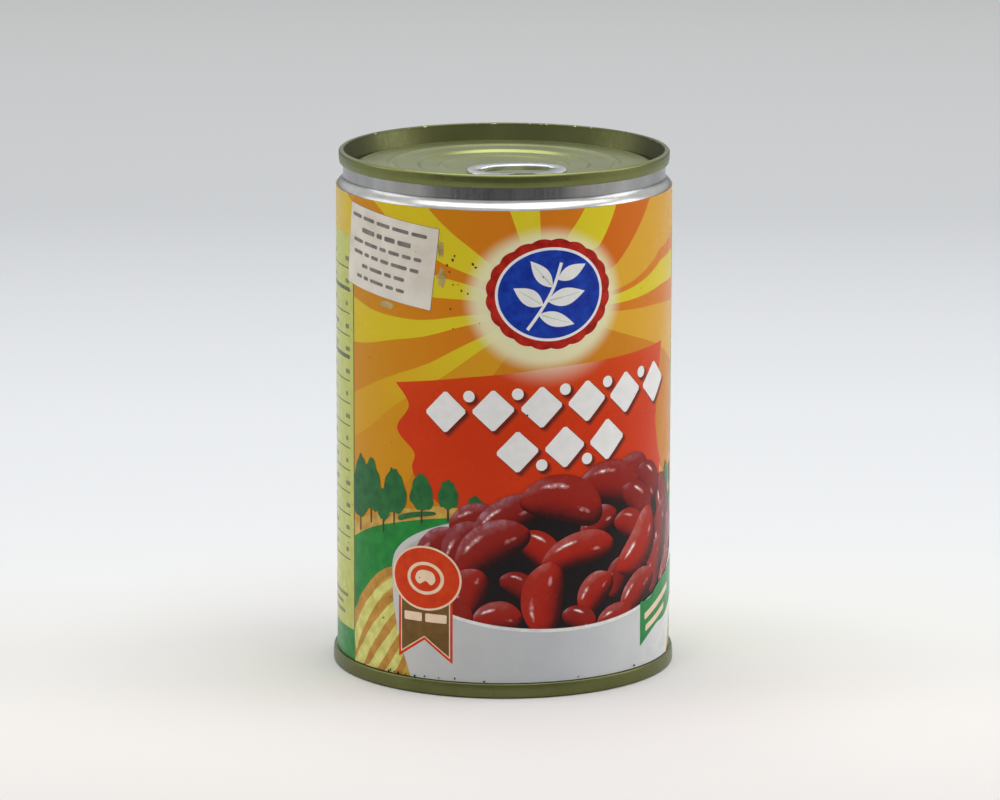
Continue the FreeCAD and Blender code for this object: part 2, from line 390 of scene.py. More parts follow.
def arc_points(centre, radius, start, stop, count=10):
    """Points on an arc, angles in degrees from +radius towards +depth."""
    turns = [math.radians(start + (stop - start) * i / count) for i in range(count + 1)]
    return [(centre[0] + radius * math.cos(a), centre[1] + radius * math.sin(a)) for a in turns]


def ease(share):
    return share * share * (3 - 2 * share)


def panel_points(edge, depth, marks, inset, scored):
    """The panel from its edge in to the axis. Marks are ("bead" or "step", distance in, width, size)."""
    points = []
    if scored:
        middle = edge - score_inset
        points += [(middle + score_width / 2, depth), (middle, depth + score_depth),
                   (middle - score_width / 2, depth)]
    for kind, distance_in, width, size in marks:
        middle = edge - distance_in
        for i in range(15):
            share = i / 14
            radius = middle + width / 2 - width * share
            if kind == "bead":
                points.append((radius, depth + inset - size * math.sin(math.pi * share) ** 1.3))
            else:
                points.append((radius, depth + inset + size * ease(share)))
        if kind == "step":
            depth += size
    points.append((0, depth + inset))
    return points


def end_outline(rim_height, direction, seam_outer, seam_thickness, seam_height, wall_lean, panel_depth,
                marks, scored):
    """The whole outline of an end, from the axis out over its seam and back under the panel."""
    seam_inner = seam_outer - seam_thickness
    groove_outer = seam_inner - wall_lean
    wall_end = panel_depth + panel_curl + groove_wall
    curl_centre = groove_outer - groove_curl
    edge = groove_outer - 2 * groove_curl - panel_curl

    def face(inset):
        curl = groove_curl + inset
        points = arc_points((curl_centre, wall_end), curl, 0, 180, 16)
        points += arc_points((edge, panel_depth + panel_curl), panel_curl - inset, 0, -90, 8)
        return points + panel_points(edge, panel_depth, marks, inset, scored and inset == 0)

    outer_corner = (seam_outer - rim_outer_round, rim_outer_round)
    inner_corner = (seam_inner + rim_inner_round, rim_inner_round)
    foot_corner = (seam_outer - seam_edge_round, seam_height - seam_edge_round)
    share = (seam_height - rim_inner_round) / (wall_end - rim_inner_round)
    wall_foot = seam_inner - share * wall_lean + end_sheet
    points = face(0)[::-1]
    points += arc_points(inner_corner, rim_inner_round, 180, 270, 8)
    points += arc_points(outer_corner, rim_outer_round, -90, 0, 8)
    half_way = seam_height * 0.5
    rise = foot_corner[1] - half_way
    points += [(seam_outer - seam_tuck * (i / 6) ** 1.6, half_way + rise * i / 6) for i in range(7)]
    points += arc_points((foot_corner[0] - seam_tuck, foot_corner[1]), seam_edge_round, 0, 90, 6)
    points.append((wall_foot, seam_height))
    points += face(end_sheet)
    return [(radius, rim_height + direction * depth) for radius, depth in points]


top_marks = [("bead", 7.0, bead_width, bead_height), ("step", 13.0, 1.4, 0.65),
             ("bead", 18.0, bead_width, bead_height)]
bottom_marks = [("bead", inset, bead_width, bead_height) for inset in (5.6, 12.1, 18.6)]
top_outline = end_outline(total_height, -1, 35.9, 1.2, 2.9, 1.1, 3.3, top_marks, True)
bottom_outline = end_outline(0, 1, 37.385, 1.3, 3.2, 0.9, 3.3, bottom_marks, False)
print("outline points:", len(top_outline), "and", len(bottom_outline))

# %% [markdown]
# Wear, grain and mottling are all noise at some real size. Four small helpers keep the materials short:
# noise drawn out into streaks, noise in round blotches, a value carried from one span to another, and a
# mix of two colours. Sizes go in as millimetres on the metal or the paper.

# %% Noise and mixing
def streaks(tree, across_mm, along_mm):
    """Noise from 0 to 1, drawn out along Z: across_mm wide and along_mm long on the metal."""
    place = add(tree, "ShaderNodeTexCoord").outputs["Object"]
    across, along = 1 / (across_mm * MM), 1 / (along_mm * MM)
    stretched = add(tree, "ShaderNodeMapping", {"Vector": place, "Scale": (across, across, along)})
    return add(tree, "ShaderNodeTexNoise",
               {"Vector": stretched.outputs[0], "Scale": 1.0, "Detail": 3.0}).outputs["Fac"]


def mottling(tree, place, size_mm, detail):
    """Soft noise from 0 to 1 with blotches about size_mm across."""
    return add(tree, "ShaderNodeTexNoise",
               {"Vector": place, "Scale": 1 / (size_mm * MM), "Detail": detail}).outputs["Fac"]


def between(tree, value, low, high, to_low, to_high):
    """A value carried from one span to another."""
    spans = {"Value": value, 1: low, 2: high, 3: to_low, 4: to_high}
    return add(tree, "ShaderNodeMapRange", spans).outputs[0]


def blend_colours(tree, share, first, second, mode="MIX"):
    """Two colours mixed; each is a hex colour or an output."""
    pair = [linear(c) if isinstance(c, str) else c for c in (first, second)]
    return add(tree, "ShaderNodeMix", {0: share, 6: pair[0], 7: pair[1]}, data_type="RGBA",
               blend_type=mode).outputs[2]


print("noise sizes are in", MM, "m")

# %% [markdown]
# Tinplate is steel sheet under a film of tin. It mirrors its surroundings softly, and rolling leaves
# fine upright streaks in it, some of them rubbed dull. A metal has no colour of its own apart from its
# reflection, so it is metallic with a light base colour, and the roughness carries the wear. The neck
# under the top seam has a darker base colour: painted shade, for the shadow of the seam above it.

# %% Rolled tinplate
tinplate, tree, shader = new_material("rolled_tinplate")
fine = streaks(tree, 0.5, 9.0)
broad = streaks(tree, 5.0, 14.0)
place = add(tree, "ShaderNodeTexCoord").outputs["Object"]
height = add(tree, "ShaderNodeSeparateXYZ", {0: place}).outputs["Z"]
rubbed = between(tree, broad, 0.35, 0.7, 0.0, 1.0)
bright_tin = blend_colours(tree, rubbed, "#bdbdbb", "#aeaeac")
neck_shaded_tin = blend_colours(tree, rubbed, "#a9aaaa", "#989897")
# Painted shade: above the shoulder the tin's base colour turns darker, for the shadow under the top seam.
neck_painted_shade = between(tree, height, 107.2 * MM, 108.0 * MM, 0.0, 1.0)
tree.links.new(blend_colours(tree, neck_painted_shade, bright_tin, neck_shaded_tin), shader.inputs["Base Color"])
tree.links.new(between(tree, fine, 0.3, 0.7, 0.21, 0.27), shader.inputs["Roughness"])
dents = add(tree, "ShaderNodeBump", {"Height": fine, "Strength": 0.03, "Distance": 0.02 * MM})
tree.links.new(dents.outputs[0], shader.inputs["Normal"])
shader.inputs["Metallic"].default_value = 1.0

print("metal:", tinplate.name)

# %% [markdown]
# The ends are tinplate under an olive-gold lacquer, which colours the reflection. A clear coat over bare
# metal would do too, but a tinted metal bakes and exports more simply. The lacquer is one colour, but
# its base colour is painted with shade: the flat panel is lightest, the leaning wall inside the rim is
# darkest, as shade in a recess, and the rolled seams lie between, the bottom one darker, as shade near the
# floor. Here and there the lacquer is chipped along the rim's inner edge, where the seaming rollers ran.

# %% Lacquered tinplate
lacquer, tree, shader = new_material("lacquered_tinplate")
place = add(tree, "ShaderNodeTexCoord").outputs["Object"]
cloud = mottling(tree, place, 9.0, 4.0)
grain = mottling(tree, place, 0.35, 2.0)
scuff = streaks(tree, 0.7, 5.0)
chip_noise = mottling(tree, place, 0.9, 1.0)
apart = add(tree, "ShaderNodeSeparateXYZ", {0: place}).outputs
flat = math_node(tree, "SQRT", math_node(tree, "ADD", math_node(tree, "MULTIPLY", apart["X"], apart["X"]),
                                         math_node(tree, "MULTIPLY", apart["Y"], apart["Y"])))
cloudy = between(tree, cloud, 0.3, 0.7, 0.0, 1.0)
# Painted shade: the wall inside the rim and both seams are darker copies of the panel's lacquer colour.
panel_colour = blend_colours(tree, cloudy, "#7c8150", "#898f5d")
wall_painted_shade = blend_colours(tree, cloudy, "#4f5131", "#575939")
bottom_seam_painted_shade = blend_colours(tree, cloudy, "#65683f", "#6f724a")
top_seam_painted_shade = blend_colours(tree, cloudy, "#717546", "#787c4e")
at_top = math_node(tree, "GREATER_THAN", apart["Z"], 60 * MM)
inside_wall = between(tree, flat, 31.8 * MM, 32.6 * MM, 0.0, 1.0)
outside_wall = between(tree, flat, 34.9 * MM, 35.2 * MM, 0.0, 1.0)
base = blend_colours(tree, inside_wall, panel_colour, wall_painted_shade)
seam_painted_shade = blend_colours(tree, at_top, bottom_seam_painted_shade, top_seam_painted_shade)
base = blend_colours(tree, outside_wall, base, seam_painted_shade)
off_ring = math_node(tree, "ABSOLUTE", math_node(tree, "SUBTRACT", flat, 34.8 * MM))
on_rim = math_node(tree, "MULTIPLY", math_node(tree, "LESS_THAN", off_ring, 0.08 * MM),
                   math_node(tree, "GREATER_THAN", apart["Z"], 113.1 * MM))
chipped = math_node(tree, "MULTIPLY", on_rim, math_node(tree, "GREATER_THAN", chip_noise, 0.68))
tree.links.new(blend_colours(tree, chipped, base, "#aca88c"), shader.inputs["Base Color"])
tree.links.new(between(tree, math_node(tree, "ADD", grain, scuff), 0.7, 1.3, 0.27, 0.42),
               shader.inputs["Roughness"])
pressed = add(tree, "ShaderNodeBump", {"Height": cloud, "Strength": 0.25, "Distance": 0.12 * MM})
peel = add(tree, "ShaderNodeBump", {"Height": grain, "Strength": 0.12, "Distance": 0.012 * MM,
                                    "Normal": pressed.outputs[0]})
tree.links.new(peel.outputs[0], shader.inputs["Normal"])
shader.inputs["Metallic"].default_value = 1.0

print("metal:", lacquer.name)

# %% [markdown]
# The ring pull is bare bright steel strip, tinned and rolled smooth. It mirrors more sharply than the
# body does, and fine scratches run along it, since it is fed through the press as a coil.

# %% Bright tab steel
tab_steel, tree, shader = new_material("bright_tab_steel")
place = add(tree, "ShaderNodeTexCoord").outputs["Object"]
worn = mottling(tree, place, 2.5, 4.0)
scratched = add(tree, "ShaderNodeMapping", {"Vector": place, "Rotation": (0, 0, math.radians(9)),
                                            "Scale": (1 / (0.15 * MM), 1 / (4 * MM), 1 / (1 * MM))})
scratches = add(tree, "ShaderNodeTexNoise",
                {"Vector": scratched.outputs[0], "Scale": 1.0, "Detail": 2.0}).outputs["Fac"]
tree.links.new(blend_colours(tree, between(tree, worn, 0.35, 0.65, 0.0, 1.0), "#d2d5d6", "#bcbfc1"),
               shader.inputs["Base Color"])
tree.links.new(between(tree, scratches, 0.3, 0.7, 0.14, 0.26), shader.inputs["Roughness"])
fine_lines = add(tree, "ShaderNodeBump", {"Height": scratches, "Strength": 0.1, "Distance": 0.01 * MM})
tree.links.new(fine_lines.outputs[0], shader.inputs["Normal"])
shader.inputs["Metallic"].default_value = 1.0
print("metal:", tab_steel.name)

# %% [markdown]
# The body is a rolled tube 0.2 mm thick. It is necked in under the top seam, so that the seam stands no
# wider than the label, and the shoulder between them is a smooth double bend. The curve is a Bezier
# worked out point by point. Its ends run up behind both seams, as the real flange does.

# %% Body and ends
body_sheet = 0.2
shoulder_foot = 105.95
neck_foot = 108.1
seam_line = total_height - 2.9


def bezier_point(poles, share):
    """A point on a cubic curve with four poles."""
    weights = [(1 - share) ** 3, 3 * share * (1 - share) ** 2, 3 * share ** 2 * (1 - share), share ** 3]
    return tuple(sum(w * pole[axis] for w, pole in zip(weights, poles)) for axis in (0, 1))


shoulder_poles = [(body_radius, shoulder_foot), (body_radius - 0.36, shoulder_foot + 0.9),
                  (neck_radius, neck_foot - 0.9), (neck_radius, neck_foot)]
outside = [(body_radius, 3.2), (body_radius, 40.0), (body_radius, 80.0), (body_radius, shoulder_foot - 0.05)]
outside += [bezier_point(shoulder_poles, i / 20) for i in range(21)]
outside += [(neck_radius, neck_foot + 0.2), (neck_radius, seam_line)]
inside = [(radius - body_sheet, height) for radius, height in outside[::-1]]
can_wall = turned_piece("can_wall", outside + inside + outside[:1], tinplate)
fit_out(can_wall, "tinplate", "can_body")
top_lid = turned_piece("top_lid", top_outline, lacquer)
fit_out(top_lid, "lacquered_tinplate", "top_end")
bottom_lid = turned_piece("bottom_lid", bottom_outline, lacquer)
fit_out(bottom_lid, "lacquered_tinplate", "bottom_end")

# %% [markdown]
# The ring pull is cut and curled from bright steel strip, so that no edge meets a finger. Its form is a
# plate with rounded rims and two openings, which the CAD model holds already. So the piece is a copy of
# that shape with its loose triangles welded: smooth over the rims, and sharp where the sheet is cut. The
# rivet is a button raised from the lid itself and flattened over the tab, so it wears the same lacquer.

# %% Ring pull and rivet
def welded_copy(name, node, material, sharpest):
    """A copy of a frame part with its triangles joined, smooth but for edges over an angle in degrees."""
    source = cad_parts[node]
    mesh = bmesh.new()
    mesh.from_mesh(source.data)
    mesh.transform(source.matrix_world)
    bmesh.ops.remove_doubles(mesh, verts=mesh.verts, dist=1e-6)
    bmesh.ops.recalc_face_normals(mesh, faces=mesh.faces)
    for face in mesh.faces:
        face.smooth = True
    for edge in mesh.edges:
        edge.smooth = len(edge.link_faces) == 2 and edge.calc_face_angle() < math.radians(sharpest)
    copy = as_mesh(name, mesh)
    copy.materials.append(material)
    return object_of(name, copy)


ring_pull = welded_copy("ring_pull", "pull_tab", tab_steel, 35)
fit_out(ring_pull, "tab_steel", "pull_tab")

rivet_shank = 1.5
rivet_head = 2.6
head_height = 0.5
head_round = 0.25
dimple_radius = 1.3
dimple_depth = 0.16
rivet_low, rivet_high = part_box("tab_rivet")
rivet_foot, rivet_crown = rivet_low.z / MM, rivet_high.z / MM
head_foot = rivet_crown - head_height
rivet_outline = [(0, rivet_foot), (rivet_shank, rivet_foot), (rivet_shank, head_foot)]
rivet_outline.append((rivet_head, head_foot))
rivet_outline += arc_points((rivet_head - head_round, rivet_crown - head_round), head_round, 0, 90, 8)
for i in range(13):
    rivet_outline.append((dimple_radius * (1 - i / 12), rivet_crown - dimple_depth * ease(i / 12)))
lid_rivet = turned_piece("lid_rivet", rivet_outline + rivet_outline[:1], lacquer)
rivet_axis = (rivet_low + rivet_high) / 2
lid_rivet.data.transform(Matrix.Translation((rivet_axis.x, rivet_axis.y, 0)))
fit_out(lid_rivet, "lacquered_tinplate", "tab_rivet")

# %% [markdown]
# The label is a strip of coated paper, printed, varnished and wrapped once round the tube. The picture
# comes twice, so that one face shows whichever way the can stands on a shelf, and a table of figures
# fills each gap. Every printed place below is written as if the strip lay flat: how far round from the
# front, and how high above the shelf, both in millimetres.

# %% The label's own measures
label_radius = 36.52
label_inside = 36.405
label_foot = 3.3
label_top = 105.9
print_foot = label_foot + 0.05      # the lowest that ink goes
label_round = 2 * math.pi * label_radius
face_pitch = label_round / 2
table_left = -61.4          # the table of figures starts here
face_left = -39.4           # and the picture here
face_right = table_left + face_pitch
burst_centre = (9.0, 85.3)
print("one face and one table take", round(face_pitch, 2), "mm of", round(label_round, 2))

# %% [markdown]
# Offset inks are thin and even, so most of what the eye sees is the clear varnish over them: a soft gloss
# that pales the label wherever it is seen edge on. All inks share that surface. Each colour is mottled
# a little, because the ink lies on paper fibre, and the varnish has a faint orange-peel unevenness.

# %% Inks under varnish
def varnish(tree, shader):
    """The surface that all print shares."""
    place = add(tree, "ShaderNodeTexCoord").outputs["Object"]
    peel = mottling(tree, place, 1.6, 2.0)
    wear = mottling(tree, place, 14.0, 5.0)
    tree.links.new(between(tree, wear, 0.35, 0.7, 0.2, 0.33), shader.inputs["Roughness"])
    uneven = add(tree, "ShaderNodeBump", {"Height": peel, "Strength": 0.1, "Distance": 0.01 * MM})
    tree.links.new(uneven.outputs[0], shader.inputs["Normal"])
    shader.inputs["IOR"].default_value = 1.5
    shader.inputs["Specular IOR Level"].default_value = 0.16
    return place


def ink(name, colour, deeper):
    """One printed colour, mottled between two close shades."""
    material, tree, shader = new_material(name)
    place = varnish(tree, shader)
    mottle = mottling(tree, place, 2.2, 6.0)
    shade = blend_colours(tree, between(tree, mottle, 0.35, 0.65, 0.0, 1.0), colour, deeper)
    tree.links.new(shade, shader.inputs["Base Color"])
    return material


def place_on_face(tree, place):
    """How far round and how high a point is, in millimetres, folded onto one face of the label."""
    apart = add(tree, "ShaderNodeSeparateXYZ", {0: place}).outputs
    turn = math_node(tree, "ARCTAN2", apart["X"], math_node(tree, "MULTIPLY", apart["Y"], -1.0))
    along = math_node(tree, "MULTIPLY", turn, label_radius)
    return math_node(tree, "WRAP", along, face_right, table_left), math_node(tree, "DIVIDE", apart["Z"], MM)


def from_centre(tree, along, high, centre, width=1.0, height=1.0):
    """Distances across and up from a centre, and how far out that is, in units of width and height."""
    across = math_node(tree, "DIVIDE", math_node(tree, "SUBTRACT", along, centre[0]), width)
    up = math_node(tree, "DIVIDE", math_node(tree, "SUBTRACT", high, centre[1]), height)
    out = math_node(tree, "SQRT", math_node(tree, "ADD", math_node(tree, "MULTIPLY", across, across),
                                            math_node(tree, "MULTIPLY", up, up)))
    return across, up, out


print("shared varnish is ready")

# %% [markdown]
# Behind the picture a sunburst spreads from the emblem: yellow and orange rays. In the shader a ray is
# only an angle, so one colour ramp with hard steps holds them all. The angle is bent a little with the
# distance, so the rays sweep like ribbons. Towards the emblem they melt into a pale glow. Far out to
# the left they turn golden, as sprayed art does, and a second ramp holds those colours.

# %% Sunburst
ray_colours = {"yellow": "#e2cf27", "fading": "#e2cf27", "orange": "#db7d14",
               "deep": "#d96c08", "gold": "#e2ab2c",
               "amber": "#dc9c1c", "brown": "#d38412"}
far_colours = {"yellow": "#ddc51a", "fading": "#dba712", "orange": "#d18a00",
               "deep": "#cf6a04", "gold": "#dba712",
               "amber": "#d69304", "brown": "#cd8204"}
rays = [(0, "orange"), (1, "yellow"), (9, "orange"), (13.5, "gold"), (34, "deep"), (56, "yellow"),
        (71, "orange"), (93, "yellow"), (110.5, "orange"), (141.5, "yellow"), (157, "orange"),
        (163.7, "yellow"), (174.5, "orange"), (186.5, "yellow"), (193.5, "orange"), (205, "fading"),
        (213, "amber"), (232, "brown"), (338.5, "gold"), (354, "orange")]

sunburst, tree, shader = new_material("printed_sunburst")
place = varnish(tree, shader)
along, high = place_on_face(tree, place)
across, up, out = from_centre(tree, along, high, burst_centre)
wobble = mottling(tree, place, 25.0, 1.0)
turn = math_node(tree, "DIVIDE", math_node(tree, "ARCTAN2", up, across), 2 * math.pi)
leftward = between(tree, across, -4.0, -18.0, 0.0, 1.0)
level = math_node(tree, "MULTIPLY", leftward, between(tree, up, -10.0, -2.0, 0.0, 1.0))
lift = math_node(tree, "MULTIPLY", level, between(tree, out, 24.0, 48.0, 0.0, 0.013))
rightward = between(tree, across, 5.0, 12.0, 0.0, 1.0)
upward = math_node(tree, "MULTIPLY", rightward, between(tree, up, -4.0, 8.0, 0.0, 1.0))
curl = math_node(tree, "MULTIPLY", upward, between(tree, out, 18.0, 34.0, 0.03, 0.0))
bent = math_node(tree, "ADD", math_node(tree, "ADD", turn, lift), curl)
bent = math_node(tree, "ADD", bent, between(tree, wobble, 0.2, 0.8, -0.005, 0.005))
wedge = math_node(tree, "WRAP", bent, 1.0, 0.0)
near = colour_ramp(tree, wedge, [(angle / 360, ray_colours[tone]) for angle, tone in rays], "CONSTANT")
far = colour_ramp(tree, wedge, [(angle / 360, far_colours[tone]) for angle, tone in rays], "CONSTANT")
burst = blend_colours(tree, math_node(tree, "MULTIPLY", leftward, between(tree, out, 14.0, 42.0, 0.0, 1.0)),
                      near, far)
clouds = mottling(tree, place, 16.0, 4.0)
deepened = blend_colours(tree, math_node(tree, "MULTIPLY", between(tree, out, 22.0, 60.0, 0.0, 0.5), clouds),
                         burst, "#c98410")
haze = from_centre(tree, along, high, (9.3, 86.8), 14.8, 12.9)[2]
glow_share = add(tree, "ShaderNodeMapRange", {"Value": haze, 1: 1.27, 2: 0.98, 3: 0.0, 4: 0.93},
                 interpolation_type="SMOOTHSTEP").outputs[0]
glowing = blend_colours(tree, glow_share, deepened, "#efebbf")
tree.links.new(glowing, shader.inputs["Base Color"])

rows = 100
label_rise = (label_top - label_foot) / rows
strip = [(label_radius, label_foot + label_rise * i) for i in range(rows + 1)]
strip = [(label_inside, label_foot)] + strip + [(label_inside, label_top), (label_inside, label_foot)]
label_sleeve = turned_piece("label_sleeve", strip, sunburst)
fit_out(label_sleeve, "printed_label", "label")

# %% [markdown]
# The rest of the picture is printed shapes. Each is drawn flat as an outline, cut into columns a
# millimetre wide and bent round the can by one tree, which also makes the second face's copy. Inks that
# overlap lie one level apart, a hundredth of a millimetre, which is near enough the real thickness and
# keeps any two surfaces from fighting for the same place. Bent normals keep the varnish's reflection
# running smoothly across every edge.

# %% The wrapping tree
level_rise = 0.01
wrapping, given = new_tree("wrapping", [("Radius", "NodeSocketFloat"), ("Both Faces", "NodeSocketBool"),
                                        ("Material", "NodeSocketMaterial")])
place = add(wrapping, "GeometryNodeInputPosition").outputs[0]
apart = add(wrapping, "ShaderNodeSeparateXYZ", {0: place}).outputs
turn = math_node(wrapping, "DIVIDE", apart["X"], label_radius * MM)
radius = math_node(wrapping, "ADD", given["Radius"], apart["Z"])
wrapped = add(wrapping, "ShaderNodeCombineXYZ",
              {"X": math_node(wrapping, "MULTIPLY", radius, math_node(wrapping, "SINE", turn)),
               "Y": math_node(wrapping, "MULTIPLY", radius,
                              math_node(wrapping, "MULTIPLY", math_node(wrapping, "COSINE", turn), -1.0)),
               "Z": apart["Y"]}).outputs[0]
front = add(wrapping, "GeometryNodeSetPosition", {"Geometry": given["Geometry"], "Position": wrapped})
known = add(wrapping, "GeometryNodeInputNamedAttribute", {"Name": "OFBake"},
            data_type="FLOAT_VECTOR").outputs[0]
beside = add(wrapping, "ShaderNodeVectorMath", {0: known, 1: (0.5, 0.0, 0.0)}).outputs[0]
again = add(wrapping, "GeometryNodeStoreNamedAttribute",
            {"Geometry": front.outputs[0], "Name": "OFBake", "Value": beside},
            data_type="FLOAT2", domain="CORNER")
behind = add(wrapping, "GeometryNodeTransform", {"Geometry": again.outputs[0], "Rotation": (0, 0, math.pi)})
pair = add(wrapping, "GeometryNodeJoinGeometry", {0: front.outputs[0]})
wrapping.links.new(behind.outputs[0], pair.inputs[0])
chosen = add(wrapping, "GeometryNodeSwitch", {"Switch": given["Both Faces"], "False": front.outputs[0],
                                              "True": pair.outputs[0]}, input_type="GEOMETRY")
end_tree(wrapping, chosen.outputs[0], given)


def flat_mesh(name, outlines):
    """A flat mesh of filled outlines, cut into columns a millimetre wide."""
    mesh = bmesh.new()
    for outline in outlines:
        turning_left = sum(a[0] * b[1] - b[0] * a[1] for a, b in zip(outline, outline[1:] + outline[:1]))
        ordered = outline if turning_left > 0 else outline[::-1]
        mesh.faces.new([mesh.verts.new((s * MM, z * MM, 0)) for s, z in ordered])
    mesh.normal_update()
    bmesh.ops.triangulate(mesh, faces=mesh.faces, ngon_method="EAR_CLIP")
    reach = [v.co.x / MM for v in mesh.verts]
    for column in range(math.ceil(min(reach)), math.floor(max(reach)) + 1):
        everything = mesh.verts[:] + mesh.edges[:] + mesh.faces[:]
        bmesh.ops.bisect_plane(mesh, geom=everything, dist=1e-7,
                               plane_co=(column * MM, 0, 0), plane_no=(1, 0, 0))
    return as_mesh(name, mesh)


def unroll(mesh, both_faces):
    """A map for baking: the flat shape fills the left half, and its copy behind takes the right."""
    sides = [v.co.x for v in mesh.vertices]
    heights = [v.co.y for v in mesh.vertices]
    left, low = min(sides), min(heights)
    wide, tall = max(sides) - left, max(heights) - low
    share = 0.49 if both_faces else 0.98
    layer = mesh.uv_layers.new(name="OFBake")
    for loop in mesh.loops:
        at = mesh.vertices[loop.vertex_index].co
        layer.data[loop.index].uv = (0.005 + share * (at.x - left) / wide, 0.01 + 0.98 * (at.y - low) / tall)


def wrap_on(name, mesh, material, level, both_faces=True):
    """Bends a flat mesh round the label at a level of ink, and gives it the can's round normals."""
    if "OFBake" not in mesh.uv_layers:
        unroll(mesh, both_faces)
    radius = (label_radius + level * level_rise) * MM
    inputs = {"Radius": radius, "Both Faces": both_faces, "Material": material}
    piece = grow(object_of(name, mesh), wrapping, **inputs)
    piece.data.normals_split_custom_set_from_vertices(
        [Vector((v.co.x, v.co.y, 0)).normalized() for v in piece.data.vertices])
    fit_out(piece, "printed_label", "label")
    return piece


def printed(name, outlines, material, level):
    return wrap_on(name, flat_mesh(name, outlines), material, level)


print("one ink level is", level_rise, "mm")

# %% [markdown]
# A few outline makers save much writing: a smooth closed curve through given points, an oval, a
# rounded bar that can lean, and a band that follows a path with a changing width.

# %% Outline makers
def curve_between(four, steps):
    """Smooth steps from the second of four points towards the third."""
    curve = []
    for j in range(steps):
        t = j / steps
        curve.append(tuple(0.5 * (2 * b + (c - a) * t + (2 * a - 5 * b + 4 * c - d) * t * t
                                  + (3 * b - a - 3 * c + d) * t ** 3)
                           for a, b, c, d in zip(*four)))
    return curve


def smooth_loop(points, steps=6):
    """A closed smooth curve through the points."""
    count = len(points)
    loop = []
    for i in range(count):
        loop += curve_between([points[(i + k) % count] for k in (-1, 0, 1, 2)], steps)
    return loop


def smooth_line(points, steps=6):
    """An open smooth curve through the points."""
    ends = [points[0]] + list(points) + [points[-1]]
    curve = []
    for i in range(1, len(ends) - 2):
        curve += curve_between(ends[i - 1:i + 3], steps)
    return curve + [tuple(points[-1])]


def block(left, foot, right, top):
    """A plain upright rectangle."""
    return [(left, foot), (right, foot), (right, top), (left, top)]


def oval(centre, half_width, half_height, count=72, start=0.0, stop=360.0):
    turns = [math.radians(start + (stop - start) * i / count) for i in range(count + (stop - start < 360))]
    return [(centre[0] + half_width * math.cos(a), centre[1] + half_height * math.sin(a)) for a in turns]


def bar(left, foot, width, height, lean=0.0, corner=0.4):
    """A bar with rounded corners; lean is how far it rises for each millimetre to the right."""
    points = []
    for x, z, first in ((width - corner, corner, -90), (width - corner, height - corner, 0),
                        (corner, height - corner, 90), (corner, corner, 180)):
        points += [(x + corner * math.cos(math.radians(a)), z + corner * math.sin(math.radians(a)))
                   for a in range(first, first + 91, 30)]
    return [(left + x, foot + z + lean * x) for x, z in points]


def band(path, widths):
    """A strip along a path, with one width for each of its points."""
    left, right = [], []
    for i, (x, z) in enumerate(path):
        ahead = path[min(i + 1, len(path) - 1)]
        behind = path[max(i - 1, 0)]
        run = Vector((ahead[0] - behind[0], ahead[1] - behind[1])).normalized() * widths[i] / 2
        left.append((x - run.y, z + run.x))
        right.append((x + run.y, z - run.x))
    return right + left[::-1]


def kept_on_face(outline):
    """Keeps an outline within the picture's own edges."""
    return [(min(max(s, face_left), face_right), max(z, print_foot)) for s, z in outline]


print("a bar has", len(bar(0, 0, 5, 9)), "points")

# %% [markdown]
# Low on the picture lies farmland: a golden strip of distant crops and a green hill before it. Both are
# smooth outlines through a few points. Real art of this kind is airbrushed, and the mottled inks stand
# for that.

# %% Crops and hill
far_gold = ink("ink_far_crops", "#d9b356", "#bd8c3e")
field_green = ink("ink_field_green", "#26903a", "#1b7a36")
tree_green = ink("ink_tree_green", "#1f5f35", "#2f7039")
stubble_cream = ink("ink_stubble_cream", "#e6e48a", "#cfc96a")
stubble_brown = ink("ink_stubble_brown", "#cf9a45", "#b77f33")
trunk_brown = ink("ink_trunk_brown", "#5a4426", "#43341f")

crop_line = smooth_line([(face_left, 34.6), (-33, 37.2), (-26, 40.0), (-20, 40.4), (-14, 41.6), (-6, 41.0),
                         (0, 40.6)])
printed("far_crops", [crop_line + [(0, 30), (face_left, 28)],
                      smooth_line([(43.0, 47.0), (46.0, 44.0), (50.0, 43.0), (face_right, 44.5)])
                      + [(face_right, 34.0), (43.0, 34.0)]], far_gold, 2)
hill_line = smooth_line([(face_left, 31.2), (-32, 34.6), (-23.8, 37.0), (-16, 38.6), (-9.3, 39.3), (0, 39.4)])
right_hill = smooth_line([(43.0, 39.5), (47.0, 38.2), (50.0, 38.6), (face_right, 40.0)])
printed("green_hill", [hill_line + [(0, 8), (-18, print_foot), (face_left, print_foot)],
                       right_hill + [(face_right, 20.0), (43.0, 20.0)]], field_green, 3)

# %% [markdown]
# In the corner the crop is cut, and rows of cream straw and brown stubble curve away. The rows repeat
# with small changes, so they are a rule: each starts a step lower, and its width wobbles from a seed.

# %% Stubble
random.seed(7)
cream_rows, brown_rows = [], []
for k in range(9):
    start = (-23.0 + 0.35 * k, 27.0 - 1.9 * k)
    path = smooth_line([start, (-29.0 + 0.5 * k, 24.4 - 2.75 * k), (-35.0 + 0.5 * k, 18.4 - 3.1 * k),
                        (-40.5 + 0.4 * k, 10.0 - 3.2 * k)])
    widths = [(1.5 + 1.9 * i / len(path)) * (0.9 + 0.25 * random.random()) for i in range(len(path))]
    (cream_rows if k % 2 else brown_rows).append(kept_on_face(band(path, widths)))
floor_rows = kept_on_face([(-22.5, 27.6), (-30.0, 25.0), (face_left, 14.8), (face_left, 3.35), (-16, 3.35)])
printed("stubble_ground", [floor_rows], ink("ink_stubble_ground", "#d7b857", "#c29a3f"), 4)
printed("stubble_brown", brown_rows, stubble_brown, 5)
printed("stubble_cream", cream_rows, stubble_cream, 6)


# %% [markdown]
# A line of dark trees stands along the hill. A crown is an egg with a wobbling edge, so one function
# draws them all from a middle, a foot, a width and a height.

